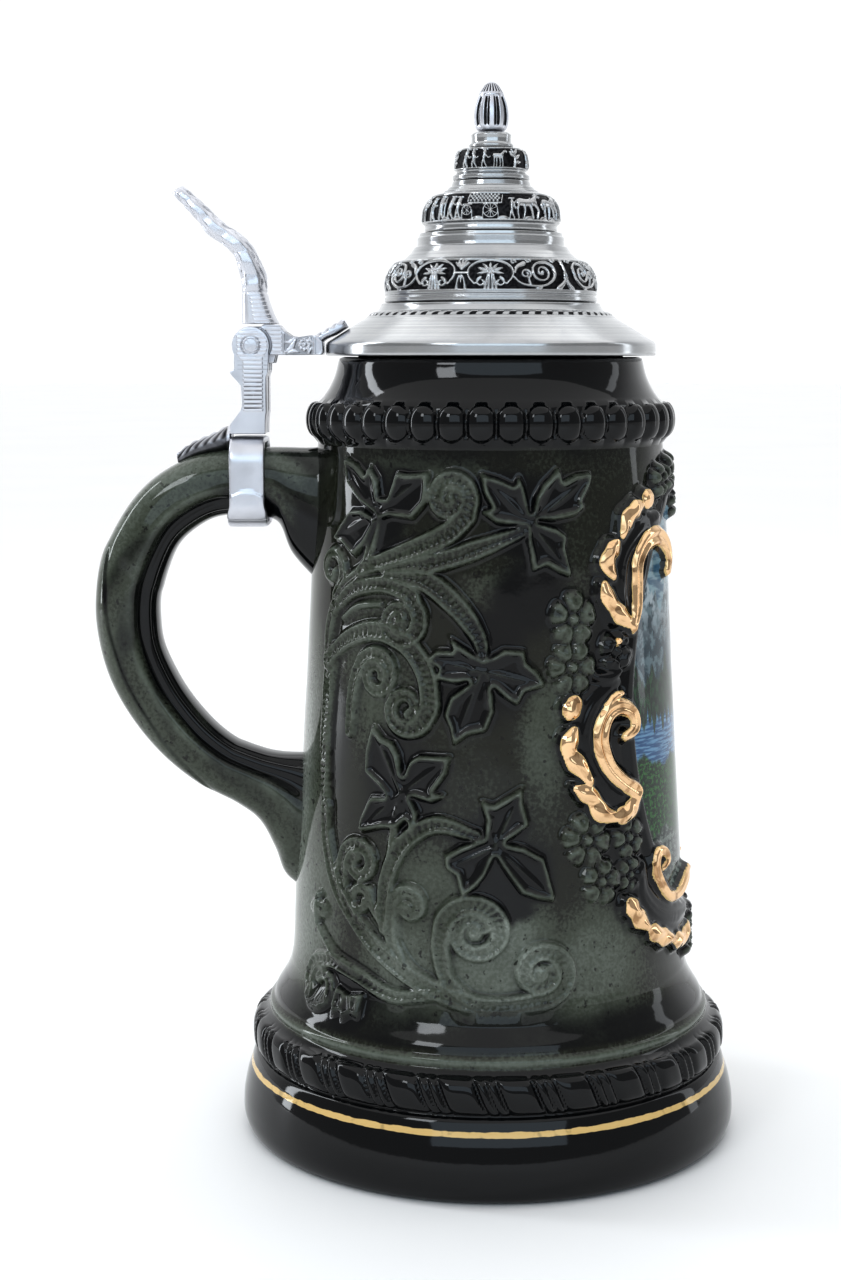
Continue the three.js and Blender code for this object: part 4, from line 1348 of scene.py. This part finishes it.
def from_pin(x, z):
    return np.hypot(x - HINGE_X, z - HINGE_Z)


def post_column(x, z):
    """The ribbed part of the post's shank."""
    return rise(z, 190.9, 191.4) * plateau(x, -64.0, -63.6, -59.0, -58.7)


def post_head(x, z):
    return rise(z, 201, 202) * (x > -65.3)


def post_relief(x, z):
    head = post_head(x, z) * (from_pin(x, z) < HEAD_R - 0.5)
    ring_line = bell(from_pin(x, z) - PIN_RING_R, 0.18)
    return ribs(z) * np.maximum(post_column(x, z), head) - 0.3 * ring_line


def post_recess(x, z):
    ribbed = np.maximum(post_column(x, z), post_head(x, z))
    deep = 0.62 * (1 - crest(2 * math.pi * z / RIB_PITCH)) * (1 - 0.35 * rise(z, 196, 207))
    return np.maximum(deep * ribbed, 0.5 * bell(from_pin(x, z) - PIN_RING_R, 0.2))


def hinge_post():
    centre = (-61.2, 195)
    pieces = [slab("leaf", post_outline(), low, high, centre, post_relief, {"recess": post_recess})
              for low, high in ((-LEAF_Y[1], -LEAF_Y[0]), LEAF_Y)]
    pieces += [slab("leaf_middle", post_outline(), -1.45, 1.45, centre, step=0.5),
               slab("post_core", post_outline(202.3), -5.2, 5.2, centre, step=0.5)]
    return join("hinge_post_cast", pieces)


def hinge_pin():
    """A pin with rounded, hammered ends."""
    half = [(1.8, 0), (1.8, 8.2), (1.7, 8.45), (1.3, 8.55)]
    line = smooth_line([(r, -y) for r, y in half[:0:-1]] + half, 0.12)

    def height(a, r, z):
        return 0.05 * ripple(r * np.cos(a) * 2, r * np.sin(a) * 2, seed=4) * (np.abs(z) > 8.2)

    recess = {"recess": lambda a, r, z: 0.45 * (np.abs(np.abs(z) - 8.15) < 0.2)}
    outline = np.vstack([[(0, -8.6)], line, [(0, 8.6)]])
    return lying_on_y(turned("hinge_pin_peened", outline, 64, height, recess), HINGE_X, HINGE_Z)


ARM_OUTLINE = np.vstack([
    hinge_arc(HEAD_R + 0.45, 62, -28, count=40),
    [(-56.4, 205.5), (-50, 205.5), (-43.6, 205.6), (-43.2, 206.2), (-43.4, 208.9), (-44.6, 210.3),
     (-46.2, 210.6), (-49.6, 210.1), (-51.6, 210.5), (-53.2, 211.6), (-54.7, 213.3), (-58.4, 213.4)],
])


def arm_pattern():
    relief = Relief((-60, -42), (203, 215), 0.1)
    stroke, bump = relief.stroke, relief.bump
    stroke([(-53.4, 205.9), (-53.4, 210.9)], 0.22, 0.3)
    stroke([(-45.5, 205.9), (-45.5, 210.1)], 0.22, 0.3)
    for spot in round_spot((-48, 208.2), 1.25, np.arange(8) * 45):
        bump(spot, 0.5, 0.4)
    bump((-48, 208.2), 0.6, 0.5)
    stroke([(-52.9, 206.3), (-51.4, 207.6), (-50.2, 209.6)], [0.3, 0.75, 0.2], 0.42)
    stroke([(-52.8, 208.8), (-51.7, 208.9), (-50.4, 210)], [0.3, 0.6, 0.2], 0.42)
    stroke([(-52.3, 206.1), (-50.8, 206.6), (-49.6, 206.2)], [0.25, 0.6, 0.2], 0.42)
    stroke([(-46.9, 206.2), (-46.2, 207.3)], [0.45, 0.2], 0.36)
    stroke([(-46.7, 209.9), (-46.1, 209)], [0.4, 0.2], 0.36)
    return relief


def lid_arm():
    pattern = arm_pattern()

    def relief(x, z):
        web = (x < -53.9) * ribs(z)
        leaf = pattern.sample(pattern.height, x, z) * (x > -53.9)
        return 0.8 * (web + leaf) - 0.1

    def recess(x, z):
        leaf = pattern.sample(pattern.height, x, z)
        web = 0.5 * (1 - ribs(z, 1.0)) * fall(x, -54.2, -53.8)
        return web + 0.5 * fall(leaf, 0.05, 0.3) * plateau(x, -53.6, -53, -46, -45.4)

    block = slab("arm_block", ARM_OUTLINE, -6.9, 6.9, (-52.4, 208.2), relief, {"recess": recess}, step=0.22)
    neck = np.vstack([hinge_arc(HEAD_R, 90, 270),
                      [(-56, 203.4), (-55.4, 205.8), (-55.4, 212.4), (-56.4, 212.8)]])
    knuckles = [slab("knuckle", neck, low, high, (-60, 208), step=0.5)
                for low, high in (SLOT_Y, (-SLOT_Y[1], -SLOT_Y[0]))]

    def vein(t, v):
        q = np.abs(turn_around(t))
        leaves = crest(2 * math.pi * v / 2.2 - 2.2 * q)
        return 0.28 * leaves * (q < 1.3) * rise(v, 0.8, 1.8)

    tongue = sweep("tongue", [(-46.4, 210.4, -44.8, 206.8, 5.0), (-44, 211.2, -42.9, 209.3, 5.2),
                              (-41, 213.0, -39.9, 210.75, 5.2), (-38.9, 214.2, -37.6, 212.2, 4.6),
                              (-38.0, 214.5, -36.9, 212.7, 3.6)],
                   120, 0.2, 3.5, vein, {"recess": lambda t, v: 0.42 - 1.2 * vein(t, v)})
    return join("lid_arm_cast", [block, *knuckles, tongue])


THUMB_POWER = 4.2
THUMB_STATIONS = [(-64.4, 213.6, -55, 213.6, 7.4), (-64.35, 215.4, -56.1, 215.6, 7.5),
    (-64.3, 218, -57.2, 218.4, 7.5), (-64.3, 221, -58, 221.2, 7.6), (-64.4, 225.8, -58.5, 225.8, 8.1),
    (-65.2, 228.9, -59.7, 228.9, 8.3), (-66.7, 231.9, -61.5, 232.6, 8.3), (-69.5, 234.2, -64.8, 236.3, 8.2),
    (-72.6, 236.4, -68.4, 238.6, 8), (-75.3, 239.8, -71.6, 241.4, 7.8), (-78, 242.8, -75, 244.6, 7.4),
    (-80.6, 245.6, -77.9, 247.2, 6.4), (-81.6, 246.9, -79.4, 248.3, 4.8)]


def thumb_pattern():
    """Casting on the lift's faces: u is how far round the section from the side, v along it."""
    relief = Relief((-10, 10), (-1, 48), 0.15)
    stroke, bump = relief.stroke, relief.bump
    stroke([(0, 9), (0, 20), (0, 32), (0, 43)], [0.9, 1.3, 1.1, 0.5], 0.9)
    for v, size in ((13, 1.6), (20, 2.1), (27, 2.0), (34, 1.7), (40, 1.3)):
        bump((0, v), size, 1.1)
        for side in (-1, 1):
            stroke([(side * 1.2, v - 1.5), (side * 3.6, v - 0.6), (side * 5.4, v + 1.4),
                    *coil((side * 4.6, v + 2.4), 1.1, 0, side * 0.8, 0.4)], [0.5, 0.95, 0.6], 0.95)
            bump((side * 6.4, v - 2.2), 1.0, 0.8)
    return relief


def thumb_lift():
    pattern = thumb_pattern()

    def faces(t, v):
        u = 8 * rounded(np.sin(t), THUMB_POWER)
        return pattern.sample(pattern.height, u, v) * rise(on_face(t), 0.8, 0.95)

    def on_face(t):
        return np.abs(rounded(np.cos(t), THUMB_POWER))

    def height(t, v):
        cast = rise(v, 8, 10)
        side = 0.14 * ripple(v * 0.7, np.cos(t) * 1.6, seed=6) * cast
        rim = 0.4 * np.abs(np.sin(v * 0.5)) * fall(on_face(t), 0.5, 0.8) * cast
        side_face = (np.cos(t) < 0.05) * (np.abs(np.sin(t)) > 0.7)
        web = ribs(213.6 + v) * 0.8 * side_face * fall(v, 6.6, 7.2)
        return (faces(t, v) * 0.5 - 0.2) * cast + side + rim + web - 0.25 * bell(v - 8, 0.3)

    def recess(t, v):
        cast = rise(v, 8, 10)
        pits = 0.3 * rise(ripple(v * 0.8, np.cos(t) * 2.2 + np.sin(t), seed=9), 0.42, 0.7)
        return cast * (0.3 * fall(faces(t, v), 0.05, 0.5) * (on_face(t) > 0.85) + pits)

    return sweep("thumb_lift_cast", THUMB_STATIONS, 220, 0.22, THUMB_POWER, height, {"recess": recess})


def strap():
    """A flat band bent round the handle, lapped over itself and hammered below the lap's edge."""
    box = node_box("handle_strap")
    middle_x, thick, corner = -62.9, 1.8, 5.6
    y, z0, z1 = box[1][1] - thick / 2, box[0][2] + thick * 0.4, box[1][2] - 1.5
    corners = ((y - corner, z1 - corner), (-y + corner, z1 - corner),
               (-y + corner, z0 + corner), (y - corner, z0 + corner))
    path = np.vstack([round_spot(centre, corner, np.linspace(90 * k, 90 * k + 90, 14))
                      for k, centre in enumerate(corners)])
    path = resample(np.vstack([path, path[:1]]), 0.3)[:-1]
    heading = np.roll(path, -1, axis=0) - np.roll(path, 1, axis=0)
    heading /= np.linalg.norm(heading, axis=1)[:, None]
    normal = np.column_stack([heading[:, 1], -heading[:, 0]])
    c, s = round_spot((0, 0), 1, np.arange(96) * 360 / 96).T
    outer = s > 0
    thickness = np.where(outer, 0.95, 0.6) * rounded(s, 5)
    z = path[:, 1][:, None]
    across = 4.55 * rounded(c, 2 / 0.36)[None, :] * (1 + 0.13 * fall(z, 164.5, 167.5))
    lap_edge = z - (171.2 - 0.42 * np.abs(across))
    lap = fall(lap_edge, -0.15, 0.15) * (z > 164)
    hammered = 0.5 + 0.5 * ripple(across * 1.4, z * 1.3, seed=2)
    out = thickness[None, :] + outer * lap * (0.26 + 0.12 * hammered)
    along_y, up = path[:, :1] + out * normal[:, :1], z + out * normal[:, 1:]
    points = np.stack([middle_x + across, along_y, up], axis=-1)
    recess = 0.45 * bell(lap_edge, 0.18) + 0.18 * lap * hammered
    return tube("handle_strap_band", points, {"recess": recess}, closed=True)


def tail_leaf():
    def height(t, v):
        y = np.sin(t)
        veins = 0.2 * np.cos(2 * math.pi * (v - 3.2 * np.abs(y)) / 2.6)
        rib = 0.5 * bell(y, 0.14)
        return (veins + rib) * rise(np.cos(t), 0, 0.3) * rise(v, 0.4, 1.6)

    def recess(t, v):
        return np.clip(0.64 - 0.5 * height(t, v), 0, 1) * rise(v, 0.2, 1.2)

    stations = [(-67.6, 187.6, -67.6, 181.0, 6.3), (-69.2, 186.5, -69.2, 180.6, 6.5),
                (-71.2, 185.3, -71.2, 180.2, 6.2), (-74, 184.1, -74, 179.6, 5.3),
                (-77.4, 182.6, -77, 178.8, 4.0), (-80.4, 180.7, -80, 177.8, 2.2),
                (-82, 179.4, -81.7, 177.4, 0.8)]
    return sweep("tail_leaf_cast", stations, 140, 0.2, 2.3, height, {"recess": recess})


def build():
    glaze = glaze_material()
    spun = pewter_material("pewter_spun", True)
    cast = pewter_material("pewter_cast", False)
    place(mug_body(wall_relief()), BODY_MUG, glaze, "glaze", ["mug_body"])
    place(handle_loop(), BODY_MUG, glaze, "glaze", ["mug_handle"])
    for obj, body, material, slot, node in (
        (strap(), BODY_MUG, cast, "pewter_turned", "handle_strap"),
        (tail_leaf(), BODY_MUG, cast, "pewter_cast", "strap_leaf"),
        (hinge_post(), BODY_MUG, cast, "pewter_cast", "hinge_post"),
        (hinge_pin(), BODY_MUG, cast, "pewter_turned", "hinge_pin"),
        (lid_arm(), BODY_LID, cast, "pewter_cast", "lid_arm"),
        (thumb_lift(), BODY_LID, cast, "pewter_cast", "thumb_lift"),
        (flange(), BODY_LID, spun, "pewter_turned", "lid_flange"),
        (dome("lower_dome_spun", LOWER_DOME, LOWER_DOME_INSIDE, flowers_and_scrolls(), 1100),
         BODY_LID, spun, "pewter_turned", "lid_lower_dome"),
        (dome("middle_dome_spun", MIDDLE_DOME, MIDDLE_DOME_INSIDE, harvest_wagon(), 900),
         BODY_LID, spun, "pewter_turned", "lid_middle_dome"),
        (cap_dome(), BODY_LID, spun, "pewter_cast", "lid_upper_dome"),
        (turned("collar_spun", resample(COLLAR_LINE, 0.12), 160),
         BODY_LID, spun, "pewter_turned", "finial_collar"),
        (bud(), BODY_LID, cast, "pewter_cast", "finial_bud"),
    ):
        place(obj, body, material, slot, [node])


# ---- floor, light and camera ----


# name, place, what it is aimed at, width and height in metres, radiance, tint
LIGHTS = (
    ("left", (-1.1, 0.30, 0.55), (0, 0, 0.14), (0.16, 1.1), 7.0, (0.92, 0.96, 1.0)),
    ("right", (1.1, 0.30, 0.45), (0, 0, 0.12), (0.15, 1.0), 1.6, (0.92, 0.96, 1.0)),
    ("panel", (0.1, -1.5, 0.75), (0, 0, 0.18), (1.9, 0.8), 1.3, (0.72, 0.87, 1.0)),
    ("window", (-0.8, -1.1, 1.0), (0, 0, 0.2), (0.35, 0.35), 7.0, (0.92, 0.96, 1.0)),
)
BACKDROP = 0.88
EXPOSURE, GAMMA = 0.28, 0.82
# the photo's view, in metres, degrees from straight down, and mm of lens on a 36 mm sensor
CAMERA_PLACE, CAMERA_PITCH, LENS, SENSOR = (-0.0182, -0.560, 0.2055), 82.38, 59.9, 36


def lay_floor():
    shader = Shader("floor", roughness=0.6)
    tint = shader.step(shader.noise(3, 3), 0.3, 0.7)
    shader.set(base_color=shader.mix(tint, (0.90, 0.90, 0.897), (0.915, 0.915, 0.915)))
    bpy.ops.mesh.primitive_plane_add(size=30, location=(0, 0, cad_bounds[0][2]))
    floor = bpy.context.object
    floor.name = "floor"
    floor.data.materials.append(shader.material)


def light_world():
    """Plain white to look at; as a light it is dimmer towards -Y, to keep the black glaze dark."""
    world = bpy.data.worlds.new("studio")
    world.use_nodes = True
    nodes = Nodes(world.node_tree)
    direction = nodes.node("SeparateXYZ", {0: nodes.node("TexCoord").outputs["Generated"]})
    light = nodes.step(direction.outputs[1], 0.15, 0.9, 0.36, 1.0)
    seen = nodes.node("LightPath").outputs["Is Camera Ray"]
    strength = nodes.node("Mix", {"Factor": seen, "A": light, "B": BACKDROP}).outputs[0]
    background = world.node_tree.nodes["Background"].inputs
    nodes.feed(background["Color"], (0.97, 0.985, 1.0, 1))
    nodes.feed(background["Strength"], strength)
    bpy.context.scene.world = world


def studio():
    lay_floor()
    light_world()
    for name, place, aim, size, radiance, tint in LIGHTS:
        lamp = bpy.data.lights.new(name, "AREA")
        lamp.shape, lamp.color = "RECTANGLE", tint
        lamp.size, lamp.size_y = size
        lamp.energy = radiance * math.pi * size[0] * size[1]
        direction = Vector(aim) - Vector(place)
        add_to_scene(name, lamp, place).rotation_euler = direction.to_track_quat("-Z", "Y").to_euler()
    overhead = bpy.data.lights.new("overhead", "SUN")
    overhead.energy, overhead.angle = 1.25, math.radians(100)
    add_to_scene("overhead", overhead)
    view = bpy.context.scene.view_settings
    view.view_transform, view.exposure, view.gamma = "Standard", EXPOSURE, GAMMA

    lens = bpy.data.cameras.new("camera")
    lens.lens, lens.sensor_width, lens.sensor_fit = LENS, SENSOR, "AUTO"
    camera = add_to_scene("camera", lens, CAMERA_PLACE)
    camera.rotation_euler = (math.radians(CAMERA_PITCH), 0, 0)
    bpy.context.scene.camera = camera


build()
studio()
